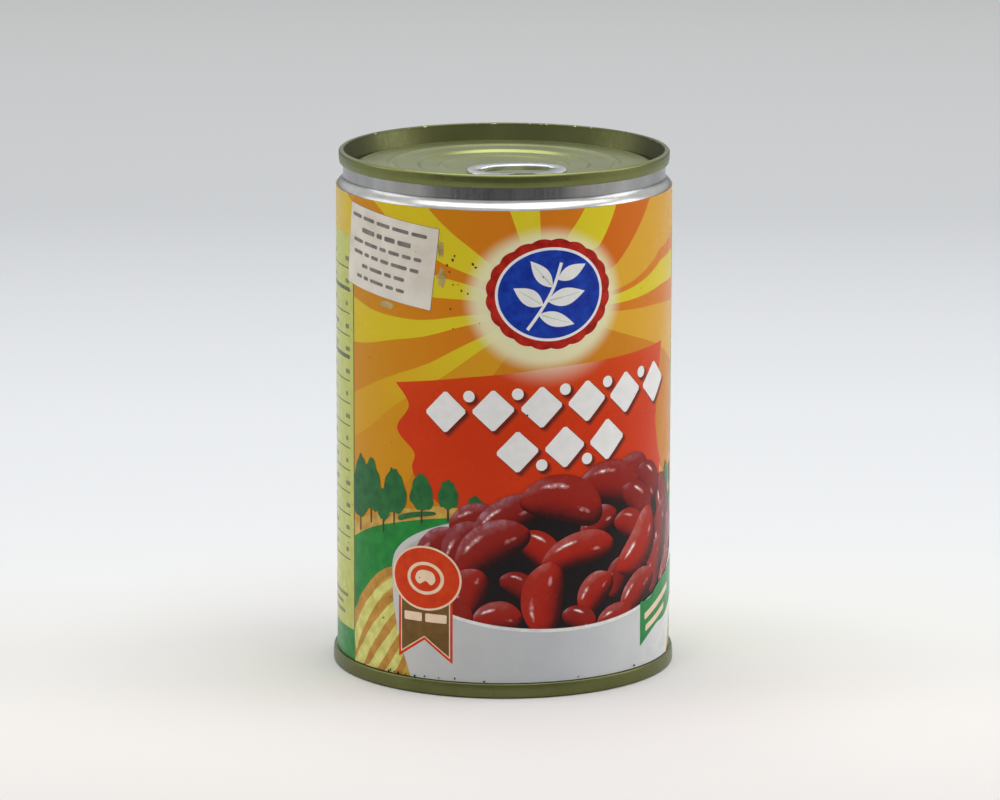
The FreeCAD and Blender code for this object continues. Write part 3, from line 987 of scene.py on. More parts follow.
# %% Trees
def tree_outline(middle, foot, width, height):
    """A leafy crown: an egg that is narrower at the top, with a wobbling edge."""
    points = []
    for i in range(26):
        a = 2 * math.pi * i / 26
        narrow = 1.0 - 0.28 * math.sin(a)
        wobble = 1 + random.uniform(-0.09, 0.09)
        points.append((middle + width / 2 * math.cos(a) * narrow * wobble,
                       foot + height / 2 + height / 2 * math.sin(a) * wobble))
    return smooth_loop(points, 2)


trees = [(-36.6, 35.6, 6.0, 14.5), (-32.6, 38.0, 6.4, 11.5), (-28.6, 36.6, 3.6, 7.0),
         (-25.4, 38.6, 6.2, 10.2), (-18.2, 40.0, 5.4, 8.2), (-12.0, 41.0, 4.6, 6.4),
         (-6.0, 39.8, 3.6, 4.6), (47.6, 39.8, 3.8, 6.6), (52.0, 40.2, 2.4, 5.0)]
trunks = [bar(s - 0.22, foot - 2.6, 0.44, 4.0, corner=0.1) for s, foot, width, height in trees]
crowns = [kept_on_face(tree_outline(*each)) for each in trees]
hedges = [smooth_loop([(-24.0, 38.4), (-20.5, 39.6), (-15.5, 40.2), (-15.2, 39.5), (-20.5, 38.4),
                       (-23.8, 37.4)])]
printed("tree_trunks", trunks, trunk_brown, 7)
printed("hedges", hedges, tree_green, 7)
printed("tree_crowns", crowns[0::2], tree_green, 8)
printed("tree_crowns_between", crowns[1::2], tree_green, 9)

# %% [markdown]
# A red-orange panel crosses the picture where a pack carries its name. Its left edge waves like a torn
# ribbon, and its top melts into the glow under the emblem. The edge is a smooth line through points, and
# the melting is a mix in the ink, so that it stays soft at any size.

# %% Headline panel
headline_rise = math.tan(math.radians(3.6))
panel_red, tree, shader = new_material("ink_panel_red")
place = varnish(tree, shader)
along, high = place_on_face(tree, place)
haze = from_centre(tree, along, high, (10.0, 85.0), 19.0, 16.5)[2]
melt = add(tree, "ShaderNodeMapRange", {"Value": haze, 1: 1.08, 2: 0.62, 3: 0.0, 4: 0.95},
           interpolation_type="SMOOTHSTEP").outputs[0]
mottle = mottling(tree, place, 11.0, 5.0)
lighter = between(tree, along, 25.0, 50.0, 0.0, 0.2)
under_glow = between(tree, high, 60.0, 73.0, 0.0, 0.45)
red = blend_colours(tree, mottle, "#d93a00", "#cd3000")
red = blend_colours(tree, under_glow, red, "#dd5208")
red = blend_colours(tree, lighter, red, "#e0602c")
tree.links.new(blend_colours(tree, melt, red, "#f1e2c4"), shader.inputs["Base Color"])

panel_edge = smooth_line([(-24.9, 67.5), (-21.4, 62.9), (-24.6, 57.5), (-20.1, 52.8), (-20.6, 49.4),
                          (-18.6, 45.6), (-12.6, 41.0)])
panel = panel_edge + [(-4, 38.0), (30, 38.0), (45.0, 44.7), (42.2, 50.0), (40.6, 56.7), (41.6, 64.0),
                      (43.6, 73.8), (26.0, 72.9), (10.0, 72.0), (-8.0, 70.0)]
printed("headline_panel", [panel], panel_red, 1)

# %% [markdown]
# This can is for no maker, so the panel holds an old border pattern: white lozenges with round dots in
# their gaps. They are as heavy as a headline and say nothing. Each has a dark shadow, down and to the
# right, with a softer one under it. The three are one function run three times.

# %% Border of lozenges
ornament_white = ink("ink_ornament_white", "#f4f3f1", "#eeedeb")
shadow_dark = ink("ink_shadow_dark", "#6a1a10", "#7c220f")
shadow_soft = ink("ink_shadow_soft", "#a92f0f", "#b3340f")
lozenge_pitch = 10.4
lozenge_half_width = 4.75
lozenge_half_height = 4.7
dot_radius = 1.25
dot_from_row = 3.3                # how far the dots stand off the row's middle line
upper_row = (-12.6, 62.3, 6)      # the first lozenge's middle, and how many there are
lower_row = (3.0, 54.0, 3)


def lozenge(middle, half_width, half_height, corner=0.35):
    """A diamond standing on a blunted point, sheared so that it climbs with its row."""
    across, up = corner, corner * half_height / half_width
    points = [(half_width - across, -up), (half_width - across, up), (across, half_height - up),
              (-across, half_height - up), (across - half_width, up), (across - half_width, -up),
              (-across, up - half_height), (across, up - half_height)]
    return [(middle[0] + x, middle[1] + z + headline_rise * x) for x, z in points]


def border(right, down, spread):
    """The whole pattern, shifted and swollen: once as it stands, and once more for each shadow."""
    shapes = []
    for (first, height, count), dots_go in ((upper_row, 1), (lower_row, -1)):
        for i in range(count):
            s = first + lozenge_pitch * i
            middle = (s + right, height + headline_rise * (s - first) - down)
            shapes.append(lozenge(middle, lozenge_half_width + spread, lozenge_half_height + spread))
            between_two = (middle[0] + lozenge_pitch / 2,
                           middle[1] + dot_from_row * dots_go + headline_rise * 5)
            if i < count - 1:
                shapes.append(oval(between_two, dot_radius + spread, dot_radius + spread, 28))
    return shapes


soft = border(0.75, 0.75, 0.32)
printed("headline_shadow_soft", soft[0::2], shadow_soft, 2)
printed("headline_shadow_soft_between", soft[1::2], shadow_soft, 3)
printed("headline_shadow", border(0.55, 0.55, 0.06), shadow_dark, 4)
printed("headline_border", border(0, 0, 0), ornament_white, 5)

# %% [markdown]
# The emblem is a seal of no house: a scalloped red rosette, a white ring and a blue field. The scallops
# are a rule, so the edge is worked out from the number of petals.

# %% Seal
emblem = (10.1, 87.9)
seal_red = ink("ink_seal_red", "#c22a1c", "#9c1408")
seal_blue = ink("ink_seal_blue", "#1a45b4", "#12309a")
petals = 20
rosette = []
for i in range(petals * 8):
    a = 2 * math.pi * i / (petals * 8)
    swell = 1 + 0.035 * abs(math.sin(petals * a / 2))
    rosette.append((emblem[0] + 13.6 * swell * math.cos(a), emblem[1] + 11.6 * swell * math.sin(a)))
printed("emblem_rosette", [rosette], seal_red, 1)
printed("emblem_ring", [oval(emblem, 12.0, 10.1)], ornament_white, 2)
printed("emblem_field", [oval(emblem, 11.4, 9.5)], seal_blue, 3)


# %% [markdown]
# On the blue field lies a plain white sprig of five leaves, most of them with a thin green vein. A leaf
# is pointed at both ends, so its width is a sine along its length.

# %% Sprig
def leaf(root, tip, width):
    """A leaf: pointed at both ends and widest a little past the middle."""
    along = Vector(tip) - Vector(root)
    side = Vector((-along.y, along.x)).normalized()
    edge = []
    for i in range(13):
        t = i / 12
        edge.append((Vector(root) + along * t, width / 2 * math.sin(math.pi * t ** 0.85)))
    return [tuple(p + side * w) for p, w in edge] + [tuple(p - side * w) for p, w in edge[-2:0:-1]]


stem = smooth_line([(5.0, 80.4), (8.0, 84.6), (10.6, 89.2), (12.4, 94.6)])
leaves = [((8.4, 85.6), (2.0, 89.4), 3.6), ((10.4, 89.4), (5.6, 95.2), 3.2), ((9.4, 86.4), (17.8, 88.2), 3.8),
          ((11.6, 91.0), (18.0, 94.0), 3.0), ((7.4, 83.6), (15.4, 81.2), 3.2)]
sprig = [band(stem, [0.7] * len(stem))] + [leaf(*each) for each in leaves]
for i, outline in enumerate(sprig):
    printed("emblem_sprig_%d" % (i + 1), [outline], ornament_white, 4 + i % 2)
vein_green = ink("ink_vein_green", "#cfe0c0", "#b4cf9f")
veins = [((9.8, 86.6), (16.6, 88.0)), ((7.8, 86.0), (3.2, 88.8)), ((10.2, 89.8), (6.4, 94.2)),
         ((8.2, 83.4), (14.2, 81.6))]
printed("emblem_sprig_veins", [band(line, [0.3, 0.1]) for line in veins], vein_green, 6)

# %% [markdown]
# The bowl is white china. Its body is one outline: two curved sides and half an ellipse for the far rim.
# The white runs from warm at the left to cool in the middle, as round china does in a soft light. A
# strip of warm white shows inside the far rim, and the rest of the well is nearly black, so that the
# beans in front stand out.

# %% Bowl
bowl_white, tree, shader = new_material("ink_china_white")
place = varnish(tree, shader)
along, high = place_on_face(tree, place)
mottle = mottling(tree, place, 7.0, 5.0)
side_light = colour_ramp(tree, between(tree, along, -26.0, 53.0, 0.0, 1.0),
                         [(0.0, "#d2d0cd"), (0.15, "#c9cac9"), (0.45, "#c2c6c9"), (0.8, "#d9dadb"),
                          (1.0, "#efeeec")])
china = blend_colours(tree, between(tree, mottle, 0.45, 0.75, 0.0, 0.35), side_light, "#b4b9bf")
tree.links.new(china, shader.inputs["Base Color"])
bowl_inner_white = ink("ink_china_inside", "#cfc9c4", "#b8b2b0")
bowl_dark = ink("ink_bowl_shadow", "#1a1114", "#120c0f")

rim_centre = (13.5, 27.6)
rim_half_width = 39.3
rim_half_height = 13.6
left_side = smooth_line([(-25.8, 27.6), (-25.4, 19.0), (-23.6, 11.0), (-20.9, print_foot)])
right_side = smooth_line([(48.6, print_foot), (51.6, 12.0), (52.6, 20.0), (52.8, 27.6)])
back_rim = oval(rim_centre, rim_half_width, rim_half_height, 60, 0, 180)
printed("bowl_back", [left_side + right_side + back_rim], bowl_white, 10)
well = oval(rim_centre, rim_half_width - 1.6, rim_half_height - 1.2, 96)
printed("bowl_inside", [well], bowl_inner_white, 11)
deep = smooth_loop([(-16.5, 27.0), (-14.0, 33.5), (0.0, 40.0), (20.0, 45.0), (40.0, 42.0), (50.6, 34.0),
                    (50.6, 23.0), (38.0, 15.6), (20.0, 13.0), (0.0, 14.0), (-13.0, 18.6)])
printed("bowl_shadow", [deep], bowl_dark, 12)

# %% [markdown]
# A bean in such a picture is a small painting of its own: dark below, red in the middle, with a
# purple-grey sheen on top and a wet streak along its back. The ink reads three numbers that each corner
# of a bean's mesh carries: how lit it is, how wet, and whether the bean is deep or bright. So all beans
# share one ink and one light.

# %% Bean ink
bean_red, tree, shader = new_material("ink_kidney_beans")
place = varnish(tree, shader)
lit = add(tree, "ShaderNodeAttribute", attribute_name="bean_light").outputs["Fac"]
wet = add(tree, "ShaderNodeAttribute", attribute_name="bean_wet").outputs["Fac"]
tone = add(tree, "ShaderNodeAttribute", attribute_name="bean_tone").outputs["Fac"]
skin = mottling(tree, place, 1.8, 3.0)
broken = mottling(tree, place, 1.3, 1.0)
light = math_node(tree, "ADD", lit, between(tree, skin, 0.3, 0.7, -0.03, 0.03))
deep_red = colour_ramp(tree, light, [(0.0, "#12060a"), (0.28, "#2e080b"), (0.5, "#640f0b"), (0.7, "#86150c"),
                                     (0.86, "#8a1d18"), (0.94, "#934448"), (1.0, "#b88a98")])
bright_red = colour_ramp(tree, light, [(0.0, "#1a0708"), (0.28, "#480b06"), (0.5, "#8c1408"),
                                       (0.7, "#ae1e09"),
                                       (0.86, "#ae2a18"), (0.95, "#b5554c"), (1.0, "#cc9c98")])
body = blend_colours(tree, tone, deep_red, bright_red)
streak = math_node(tree, "MULTIPLY", wet, between(tree, broken, 0.35, 0.6, 0.55, 1.0))
sheen = blend_colours(tree, between(tree, streak, 0.3, 0.7, 0.0, 0.8), body, "#d8a4a2")
spark = between(tree, streak, 0.7, 0.88, 0.0, 1.0)
tree.links.new(blend_colours(tree, spark, sheen, "#fdf6f4"), shader.inputs["Base Color"])
print("bean ink reads", [n.attribute_name for n in tree.nodes if n.bl_idname == "ShaderNodeAttribute"])

# %% [markdown]
# Every bean has its own size, lean, bend and tone, and the list runs from the back of the heap to the
# front, so that a bean lies over all those named before it that it meets. A picture like this is posed
# by hand, and the list gives the beans one by one: real heaps are not even, and a rule would show.

# %% The heap, one bean at a time
# Each bean: how far round, how high, length, width, lean in degrees, bend and tone, from deep to bright.
beans = [
    (-6.2, 38.6, 11.5, 7.4, 12, 0.8, 0.1), (47.6, 33.6, 11.0, 7.0, -20, 0.6, 0.0),
    (45.4, 38.6, 12.5, 8.0, -64, -1.0, 0.1), (30.8, 47.4, 12.0, 6.6, 14, 0.6, 0.1),
    (37.4, 44.0, 11.0, 7.6, -50, 0.9, 0.0), (-14.4, 31.6, 14.0, 7.8, 44, 1.2, 0.0),
    (48.4, 27.4, 15.0, 8.0, 74, -1.0, 0.2), (43.8, 31.6, 14.5, 8.0, 80, 1.0, 0.1),
    (-8.4, 33.0, 13.0, 8.6, 52, 0.9, 0.0), (0.6, 39.2, 17.0, 7.8, 30, 1.2, 0.1),
    (25.2, 45.2, 17.4, 9.4, -10, 1.4, 0.25), (33.4, 40.0, 13.0, 7.4, -44, 1.0, 0.05),
    (21.6, 37.0, 10.6, 6.6, 30, 0.8, 0.2), (13.2, 42.4, 19.6, 10.2, -14, 2.0, 0.4),
    (30.4, 35.6, 9.6, 6.4, -26, 0.8, 0.55), (7.6, 32.6, 11.0, 6.8, -40, 0.8, 0.8),
    (-2.8, 32.8, 18.4, 9.2, 32, 1.8, 0.2), (40.6, 24.8, 13.0, 6.6, 72, 0.9, 0.45),
    (-13.4, 25.6, 10.5, 7.4, 24, 0.6, 0.3), (-7.2, 23.4, 10.4, 8.2, 70, 0.8, 0.55),
    (16.8, 31.4, 17.8, 7.4, 12, 1.3, 0.85), (3.2, 24.6, 8.6, 5.6, -30, 0.6, 0.05),
    (27.0, 24.6, 9.6, 6.4, 60, 0.6, 0.1), (33.6, 31.0, 17.0, 9.6, 48, -2.2, 1.0),
    (47.0, 21.6, 12.0, 7.0, 50, 0.8, 0.35), (20.8, 22.0, 10.8, 7.2, 46, 0.9, 0.75),
    (-1.4, 17.4, 11.0, 7.0, 8, 0.8, 0.5), (17.0, 16.4, 9.0, 5.6, -30, 0.6, 0.15),
    (9.0, 21.6, 16.4, 9.2, 84, 1.2, 0.9), (33.2, 20.2, 14.0, 7.2, 36, 1.1, 0.6),
    (26.0, 15.4, 10.2, 6.2, 10, 0.6, 0.5), (-11.6, 18.4, 11.0, 7.0, -20, 0.6, 0.2)]
bean_light_from = Vector((-0.42, 0.72, 0.55)).normalized()
bean_rise = 0.008             # mm from one bean up to the next
bean_level = 13               # the ink level that the lowest bean lies on
print(len(beans), "beans")

# %% [markdown]
# Two prints at one height would flicker through each other, so every bean gets a level of its own: one
# above each earlier bean that it may overlap. Beans that don't meet share levels, and the pile stays low.

# %% Bean levels
def bean_levels():
    """A level for each bean: one above every earlier bean that it may overlap."""
    levels = []
    for i, (s, z, length) in enumerate(bean[:3] for bean in beans):
        under = [levels[j] for j in range(i)
                 if math.hypot(s - beans[j][0], z - beans[j][1]) < 0.47 * (length + beans[j][2])]
        levels.append(1 + max(under, default=0))
    return levels


levels = bean_levels()
print("bean levels:", max(levels))


# %% [markdown]
# Each bean is a small bent grid. Its outline is a rounded bar, thicker at one end and bowed by its bend.
# For its light it is taken as a round solid: a made-up slope at each place is turned by the bean's lean
# and compared with one direction of light. Two soft bumps along the back make the wet streak and spot.

# %% Bean shading
around = 34                   # cells along a bean
across_count = 20             # and across it


def bean_shading(run, v, lean):
    """How lit and how wet a bean is at a place, run along it and v across it, each from -1 to 1."""
    cosine, sine = math.cos(lean), math.sin(lean)
    slope_along = 0.86 * run ** 3
    slope_across = 0.93 * v * (1 - 0.4 * run ** 4)
    rise = math.sqrt(max(0.02, 1 - slope_along ** 2 - slope_across ** 2))
    faces = Vector((slope_along * cosine - slope_across * sine,
                    slope_along * sine + slope_across * cosine, rise))
    facing = faces.normalized().dot(bean_light_from)
    upper_side = 1 if cosine * bean_light_from.y - sine * bean_light_from.x > 0 else -1
    rim = max(abs(v), abs(run)) ** 6
    in_shade = max(0.0, -v * upper_side) ** 2
    light = (0.46 + 0.5 * facing) * (1 - 0.42 * in_shade) * (1 - 0.35 * rim * (facing < 0.3))
    streak = math.exp(-((v * upper_side - 0.5) / 0.13) ** 2) * math.exp(-((run + 0.3) / 0.34) ** 4)
    spot = math.exp(-((v * upper_side + 0.25) / 0.13) ** 2 - ((run - 0.5) / 0.2) ** 2)
    return max(0.0, min(1.0, light)), max(streak, 0.82 * spot)


def bean_patch(mesh, layers, number, bean):
    """Adds one bean as a bent grid; its corners carry light, wetness, tone and a place on the bake map."""
    s, z, length, width, lean, bend, tone = bean
    lean = math.radians(lean)
    cosine, sine = math.cos(lean), math.sin(lean)
    cells = 6
    cell = ((number % cells) / cells, (number // cells) / cells)
    grid = []
    for i in range(around + 1):
        t = -1 + 2 * i / around
        run = math.sin(t * math.pi / 2)
        half = width / 2 * max(0.0, 1 - abs(run) ** 2.5) ** 0.55 * (1 + 0.07 * run)
        row = []
        for j in range(across_count + 1):
            v = -1 + 2 * j / across_count
            x = length / 2 * run
            y = half * v + 0.55 * bend * (1 - 2 * run * run)
            vert = mesh.verts.new(((s + x * cosine - y * sine) * MM, (z + x * sine + y * cosine) * MM,
                                   levels[number] * bean_rise * MM))
            vert[layers["bean_light"]], vert[layers["bean_wet"]] = bean_shading(run, v, lean)
            vert[layers["bean_tone"]] = tone
            on_map = (cell[0] + (0.06 + 0.88 * i / around) / cells,
                      cell[1] + (0.06 + 0.88 * j / across_count) / cells)
            row.append((vert, on_map))
        grid.append(row)
    for i in range(around):
        for j in range(across_count):
            corners = [grid[i][j], grid[i + 1][j], grid[i + 1][j + 1], grid[i][j + 1]]
            face = mesh.faces.new([corner[0] for corner in corners])
            for loop, corner in zip(face.loops, corners):
                loop[layers["OFBake"]].uv = (corner[1][0] / 2, corner[1][1])


# %% [markdown]
# The heap is one mesh, because one piece bakes and exports better than thirty. The second face gets its
# copy from the wrapping tree, as every print does.

# %% Bean heap
mesh = bmesh.new()
layers = {name: mesh.verts.layers.float.new(name) for name in ("bean_light", "bean_wet", "bean_tone")}
layers["OFBake"] = mesh.loops.layers.uv.new("OFBake")
for number, bean in enumerate(beans):
    bean_patch(mesh, layers, number, bean)
bmesh.ops.remove_doubles(mesh, verts=mesh.verts, dist=1e-8)
wrap_on("bean_heap", as_mesh("bean_heap", mesh), bean_red, bean_level)

# %% [markdown]
# The front of the bowl hides the feet of the lowest beans, so it is printed over them. Its rim is an
# ellipse, like every round rim seen from above its height, with a bright line where the glaze turns over.

# %% Bowl front
front_level = bean_level + math.ceil(max(levels) * bean_rise / level_rise) + 1
front_rim = oval((13.5, 28.2), rim_half_width - 1.2, rim_half_height - 0.4, 60, 180, 360)
front = left_side + right_side + [(52.8, 28.2)] + front_rim[::-1]
printed("bowl_front", [front], bowl_white, front_level)
lip_path = oval((13.5, 28.1), rim_half_width - 0.9, rim_half_height - 0.1, 60, 182, 358)
lip_white = ink("ink_china_lip", "#efeeec", "#dedddb")
printed("bowl_lip", [band(lip_path, [0.7] * len(lip_path))], lip_white, front_level + 1)

# %% [markdown]
# A small award badge hangs over the bowl's left side, a disc on a swallow-tailed ribbon. It would carry
# words on a shop's can. Here it holds a ring, a bean and two bars. Its layers are the same outline drawn
# in by a little more each time, which leaves an even line of the layer below.

# %% Badge
badge = (-17.2, 25.5)
badge_red = ink("ink_badge_red", "#db400a", "#ce3606")
cream_line = ink("ink_cream_line", "#f6dcc0", "#f0cfae")
ribbon_brown = ink("ink_ribbon_brown", "#7c5c2c", "#6c4f25")


def ribbon(inset):
    """The swallow tail, drawn in by inset on every side."""
    return [(-23.9 + inset, 21.0), (-23.9 + inset, 7.5 + 1.9 * inset), (-17.4, 11.9 + 1.1 * inset),
            (-10.9 - inset, 7.1 + 1.9 * inset), (-10.9 - inset, 21.0)]


marks = [oval(badge, 4.4, 3.6, 48), bar(-22.4, 15.9, 4.4, 1.9, corner=0.3),
         bar(-17.2, 15.9, 5.0, 1.9, corner=0.3)]
bean_mark = smooth_loop([(-19.6, 25.3), (-18.9, 26.9), (-17.2, 27.3), (-15.4, 26.8), (-14.8, 25.2),
                         (-15.8, 24.1), (-17.1, 24.9), (-18.6, 24.2)])
badge_layers = [("ribbon_edge", [ribbon(0.0)], badge_red), ("ribbon_line", [ribbon(0.55)], cream_line),
                ("ribbon", [ribbon(0.8)], ribbon_brown), ("ring", [oval(badge, 8.3, 7.1)], cream_line),
                ("disc", [oval(badge, 7.85, 6.65)], badge_red), ("marks", marks, cream_line),
                ("marks_inner", [oval(badge, 3.6, 2.9, 48)], badge_red),
                ("bean", [bean_mark], cream_line)]
for i, (part, outlines, material) in enumerate(badge_layers):
    printed("badge_" + part, outlines, material, front_level + 2 + i)

# %% [markdown]
# A green corner flag crosses the bowl's right side, up to the picture's edge. Two plain cream bars lean
# with it in place of words.

# %% Corner flag
flag_green = ink("ink_flag_green", "#268f4b", "#228044")
flag_top = smooth_line([(34.3, 17.6), (38.0, 17.9), (42.0, 20.2), (47.0, 22.0), (face_right, 24.6)])
flag_foot = smooth_line([(34.3, 7.7), (37.5, 9.6), (41.5, 11.4), (46.5, 12.2), (face_right, 15.6)])
printed("corner_flag", [flag_foot + flag_top[::-1]], flag_green, front_level + 2)
printed("corner_flag_marks", [bar(36.0, 13.2, 12.5, 1.5, 0.36, 0.3), bar(36.4, 10.6, 9.5, 1.4, 0.34, 0.3)],
        cream_line, front_level + 3)

# %% [markdown]
# Between the two pictures stands a pale green table of figures, over a foot of green field: an edge
# line, thin rules and short grey entries. The rules and entries repeat, so they come from one loop, with
# an entry's length drawn by lot from a fixed seed. The entries are plain dashes and can't be read.

# %% Table of figures
random.seed(21)
table_green = ink("ink_table_green", "#c6ca68", "#bbc158")
table_grey = ink("ink_table_grey", "#4b4d33", "#5b5d40")
table_top = 89.5
table_foot = 20.5
row_pitch = 4.95
ground_foot = 10.0
ground_top = 97.0
column_left = table_left + 2.2
column_right = face_left - 2.2
field = block(table_left, print_foot, face_left, ground_foot + 1.0)
printed("field_under_the_table", [field], field_green, 1)
printed("table_ground", [block(table_left, ground_foot, face_left, ground_top)], table_green, 2)
rules = [block(face_left - 0.35, ground_foot, face_left, ground_top)]
entries = []
height = table_top
row_number = 0
while height > table_foot:
    heavy = row_number in (1, 4)
    thick = 0.9 if heavy else 0.28
    rules.append(block(column_left, height, column_right, height + thick))
    long = random.uniform(5.5, 9.5)
    entries.append(bar(column_left, height + 1.7, long, 0.95, corner=0.2))
    entries.append(bar(column_right - 2.4, height + 1.7, random.choice((1.4, 2.0, 2.4)), 0.95, corner=0.2))
    height -= row_pitch
    row_number += 1
for i in range(3):
    entries.append(bar(column_left, 16.6 - 2.0 * i, random.uniform(9.0, 16.5), 0.8, corner=0.2))
printed("table_rules", rules, table_grey, 3)
printed("table_entries", entries, ink("ink_entry_grey", "#6d6f4c", "#7d7f5a"), 3)

# %% [markdown]
# A shop has stuck a paper label of its own over the print. It is uncoated paper, dull beside the
# varnish, with a felt-like surface and faint stains. Its cut edge is darker, grey-brown in a thin band,
# and the paper reads that from a number that the edge's corners carry.

# %% Sticker paper
sticker_paper, tree, shader = new_material("uncoated_sticker_paper")
place = add(tree, "ShaderNodeTexCoord").outputs["Object"]
fibre = mottling(tree, place, 0.5, 4.0)
stain = mottling(tree, place, 7.0, 5.0)
white = blend_colours(tree, between(tree, stain, 0.4, 0.7, 0.0, 1.0), "#e9e2d6", "#d9cfc0")
edge = add(tree, "ShaderNodeAttribute", attribute_name="cut_edge").outputs["Fac"]
greyed = between(tree, edge, 0.5, 1.0, 0.0, 0.85)
tree.links.new(blend_colours(tree, greyed, white, "#5d5648"), shader.inputs["Base Color"])
shader.inputs["Roughness"].default_value = 0.75
felt = add(tree, "ShaderNodeBump", {"Height": fibre, "Strength": 0.25, "Distance": 0.02 * MM})
tree.links.new(felt.outputs[0], shader.inputs["Normal"])

print("paper:", sticker_paper.name)

# %% [markdown]
# The sticker is cut with a blade and pressed on by hand a little crooked. It stands 0.12 mm proud, its
# edges go down to the varnish, and one corner lifts a touch. It is drawn flat on its own axes, turned,
# and wrapped by the same tree as the print.

# %% Sticker
sticker_width = 26.3
sticker_height = 17.8
sticker_tilt = math.radians(-6.8)
sticker_middle = (math.radians(-44.0) * label_radius, 94.3)
paper_thickness = 0.115
cut_bevel = 0.03              # how far in the cut edge reaches
edge_cell = 0.14              # and the first full cell inside it


def on_sticker(x, y, lift=0.0):
    """A point of the sticker's own plane, from its middle, as a flat point of the label in metres."""
    s = sticker_middle[0] + x * math.cos(sticker_tilt) - y * math.sin(sticker_tilt)
    z = sticker_middle[1] + x * math.sin(sticker_tilt) + y * math.cos(sticker_tilt)
    return s * MM, z * MM, lift * MM


mesh = bmesh.new()
cut = mesh.verts.layers.float.new("cut_edge")
columns, rows = 40, 28


def cell_lines(length, cells):
    """Where the grid's lines lie: at the cut, just inside it, then evenly across."""
    half, span = length / 2, length - 2 * edge_cell
    inner = [-half + edge_cell + span * i / cells for i in range(cells + 1)]
    return [-half, -half + cut_bevel] + inner + [half - cut_bevel, half]


xs, ys = cell_lines(sticker_width, columns), cell_lines(sticker_height, rows)
lattice = []
for i, x in enumerate(xs):
    column = []
    for j, y in enumerate(ys):
        at_edge = i in (0, len(xs) - 1) or j in (0, len(ys) - 1)
        near_edge = i in (1, len(xs) - 2) or j in (1, len(ys) - 2)
        wave = 0.012 * math.sin(0.9 * x + 0.4 * y) * math.cos(0.7 * y)
        corner_lift = 0.05 * max(0.0, (x + y - 16.0) / 6.0)
        lift = 0.0 if at_edge else paper_thickness - 0.015 + wave + corner_lift
        vert = mesh.verts.new(on_sticker(x, y, lift))
        vert[cut] = 1.0 if at_edge or near_edge else 0.0
        column.append(vert)
    lattice.append(column)
for i in range(len(xs) - 1):
    for j in range(len(ys) - 1):
        mesh.faces.new([lattice[i][j], lattice[i + 1][j], lattice[i + 1][j + 1], lattice[i][j + 1]])


def stick_on(name, flat, radius, material):
    """Bends a part of the sticker round the label at a radius in millimetres, on one face only."""
    unroll(flat, False)
    inputs = {"Radius": radius * MM, "Both Faces": False, "Material": material}
    fit_out(grow(object_of(name, flat), wrapping, **inputs), "sticker_paper", "paper_sticker")


stick_on("shop_sticker", as_mesh("shop_sticker", mesh), label_radius + level_rise, sticker_paper)

# %% [markdown]
# Rows of grey dashes stand for the sticker's words, which are left out. Each row has a height, half a
# length and a thickness, and a lot drawn from a seed cuts it into dashes.

# %% Dashes on the sticker
random.seed(5)
stamp_grey = ink("ink_stamp_grey", "#726d68", "#8a857e")
dashes = []
sticker_rows = [(6.6, 11.4, 0.8), (3.9, 7.4, 1.05), (1.3, 10.4, 0.8), (-1.2, 10.0, 0.8), (-3.8, 6.6, 0.8),
                (-6.3, 8.4, 0.75)]
for y, half_length, thick in sticker_rows:
    x = -half_length
    while x < half_length - 1.0:
        long = min(random.uniform(1.6, 4.6), half_length - x)
        dash = bar(x - 0.6, y - thick / 2, long, thick, corner=0.3)
        dashes.append([tuple(c / MM for c in on_sticker(px, py)[:2]) for px, py in dash])
        x += long + 0.75
stick_on("sticker_dashes", flat_mesh("sticker_dashes", dashes), label_radius + paper_thickness + 0.022,
         stamp_grey)

# %% [markdown]
# Handling leaves marks. Scatter is a job for Geometry Nodes: points strewn over a thin strip from a
# seed, each with a tiny uneven crumb, turned and sized by lot. One tree serves every kind of mark.

# %% The strewing tree
strewing, given = new_tree("strewing", [("Crumb", "NodeSocketObject"), ("Density", "NodeSocketFloat"),
                                        ("Seed", "NodeSocketInt"), ("Smallest", "NodeSocketFloat"),
                                        ("Largest", "NodeSocketFloat"), ("Material", "NodeSocketMaterial")])
strewn = add(strewing, "GeometryNodeDistributePointsOnFaces",
             {"Mesh": given["Geometry"], "Density": given["Density"], "Seed": given["Seed"]})
crumb = add(strewing, "GeometryNodeObjectInfo", {"Object": given["Crumb"]})
sizes = add(strewing, "FunctionNodeRandomValue", {"Seed": given["Seed"]}, data_type="FLOAT")
strewing.links.new(given["Smallest"], sizes.inputs[2])
strewing.links.new(given["Largest"], sizes.inputs[3])
spins = add(strewing, "FunctionNodeRandomValue", {"Seed": 4}, data_type="FLOAT")
spins.inputs[3].default_value = 2 * math.pi
spin = add(strewing, "ShaderNodeCombineXYZ", {"Z": spins.outputs[1]})
crumbs = add(strewing, "GeometryNodeInstanceOnPoints",
             {"Points": strewn.outputs["Points"], "Instance": crumb.outputs["Geometry"],
              "Rotation": spin.outputs[0], "Scale": sizes.outputs[1]})
end_tree(strewing, crumbs.outputs[0], given)

random.seed(12)
ragged = [random.uniform(0.55, 1.15) for i in range(9)]
crumb_mesh = flat_mesh("crumb", [[(r * math.cos(2 * math.pi * i / 9), 0.6 * r * math.sin(2 * math.pi * i / 9))
                                  for i, r in enumerate(ragged)]])


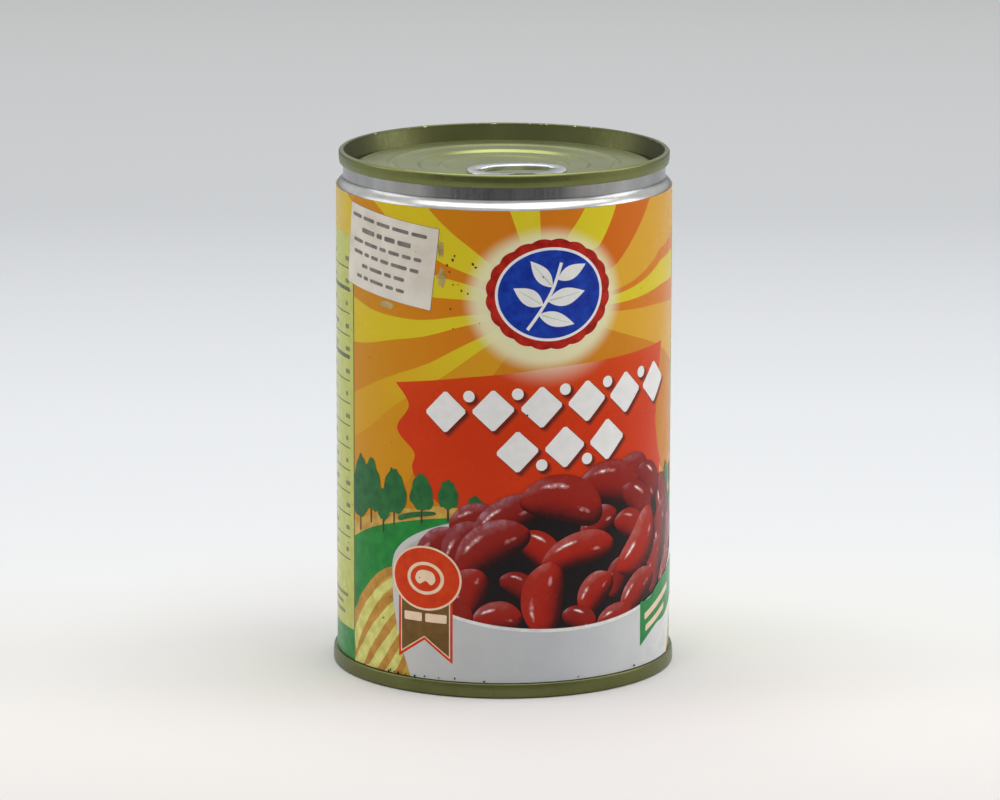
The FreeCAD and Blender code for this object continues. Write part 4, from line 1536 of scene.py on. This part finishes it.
def strewn_marks(name, zone, density, seed, smallest, largest, material, level, both_faces=False):
    """Crumbs over a zone given by its left, foot, right and top, in millimetres."""
    one = object_of("crumb", crumb_mesh)
    field = bpy.data.meshes.new(name)
    field.from_pydata([(s * MM, z * MM, 0) for s, z in block(*zone)], [], [(0, 1, 2, 3)])
    strewn = grow(object_of(name, field), strewing, Crumb=one, Density=density / MM ** 2, Seed=seed,
                  Smallest=smallest, Largest=largest, Material=material)
    flat = strewn.data
    bpy.data.objects.remove(strewn)
    bpy.data.objects.remove(one)
    return wrap_on(name, flat, material, level, both_faces)


print("the strewing tree has", len(strewing.nodes), "nodes")

# %% [markdown]
# Where the label meets the bottom seam its edge is nicked dark. The varnish has small dark flecks where
# something sharp touched it, and more of them beside the sticker, where an older one was picked off.
# Density is marks on each square millimetre, and the two sizes are the smallest and largest crumb.

# %% Nicks and flecks
nick_black = ink("nick_dark_edge", "#1d1a16", "#2c2620")
fleck_brown = ink("fleck_brown", "#4a4318", "#3a3414")
half_round = label_round / 2
top_level = front_level + 11
at_the_foot = (-half_round, label_foot + 0.25, half_round, label_foot + 0.8)
all_over = (-half_round, 6.0, half_round, 100.0)
by_the_sticker = (-13.5, 87.0, -4.5, 97.0)
strewn_marks("seam_nicks", at_the_foot, 0.22, 3, 0.16, 0.5, nick_black, top_level)
strewn_marks("varnish_flecks", all_over, 0.0035, 8, 0.1, 0.34, nick_black, top_level)
strewn_marks("flecks_by_the_sticker", by_the_sticker, 0.13, 2, 0.18, 0.5, fleck_brown, 2)

# %% [markdown]
# The scraps are what a thumbnail leaves of a paper sticker: thin torn islands, brown with old glue. Each
# is a rough ring whose radius jumps about, so its edge is torn and not smooth.

# %% Scraps of an older sticker
random.seed(31)
scrap_paper = ink("old_sticker_scrap", "#c6b078", "#9d8244")


def torn(middle, half_width, half_height):
    """A torn island: an oval with a ragged edge."""
    edge = []
    for s, z in oval(middle, half_width, half_height, 22):
        rough = random.uniform(0.62, 1.12)
        edge.append((middle[0] + (s - middle[0]) * rough, middle[1] + (z - middle[1]) * rough))
    return edge


scraps = [torn((-13.6, 97.4), 0.9, 2.0), torn((-13.4, 91.2), 1.1, 2.1), torn((-27.4, 83.9), 2.6, 0.8)]
wrap_on("old_sticker_scraps", flat_mesh("old_sticker_scraps", scraps), scrap_paper, 3, both_faces=False)
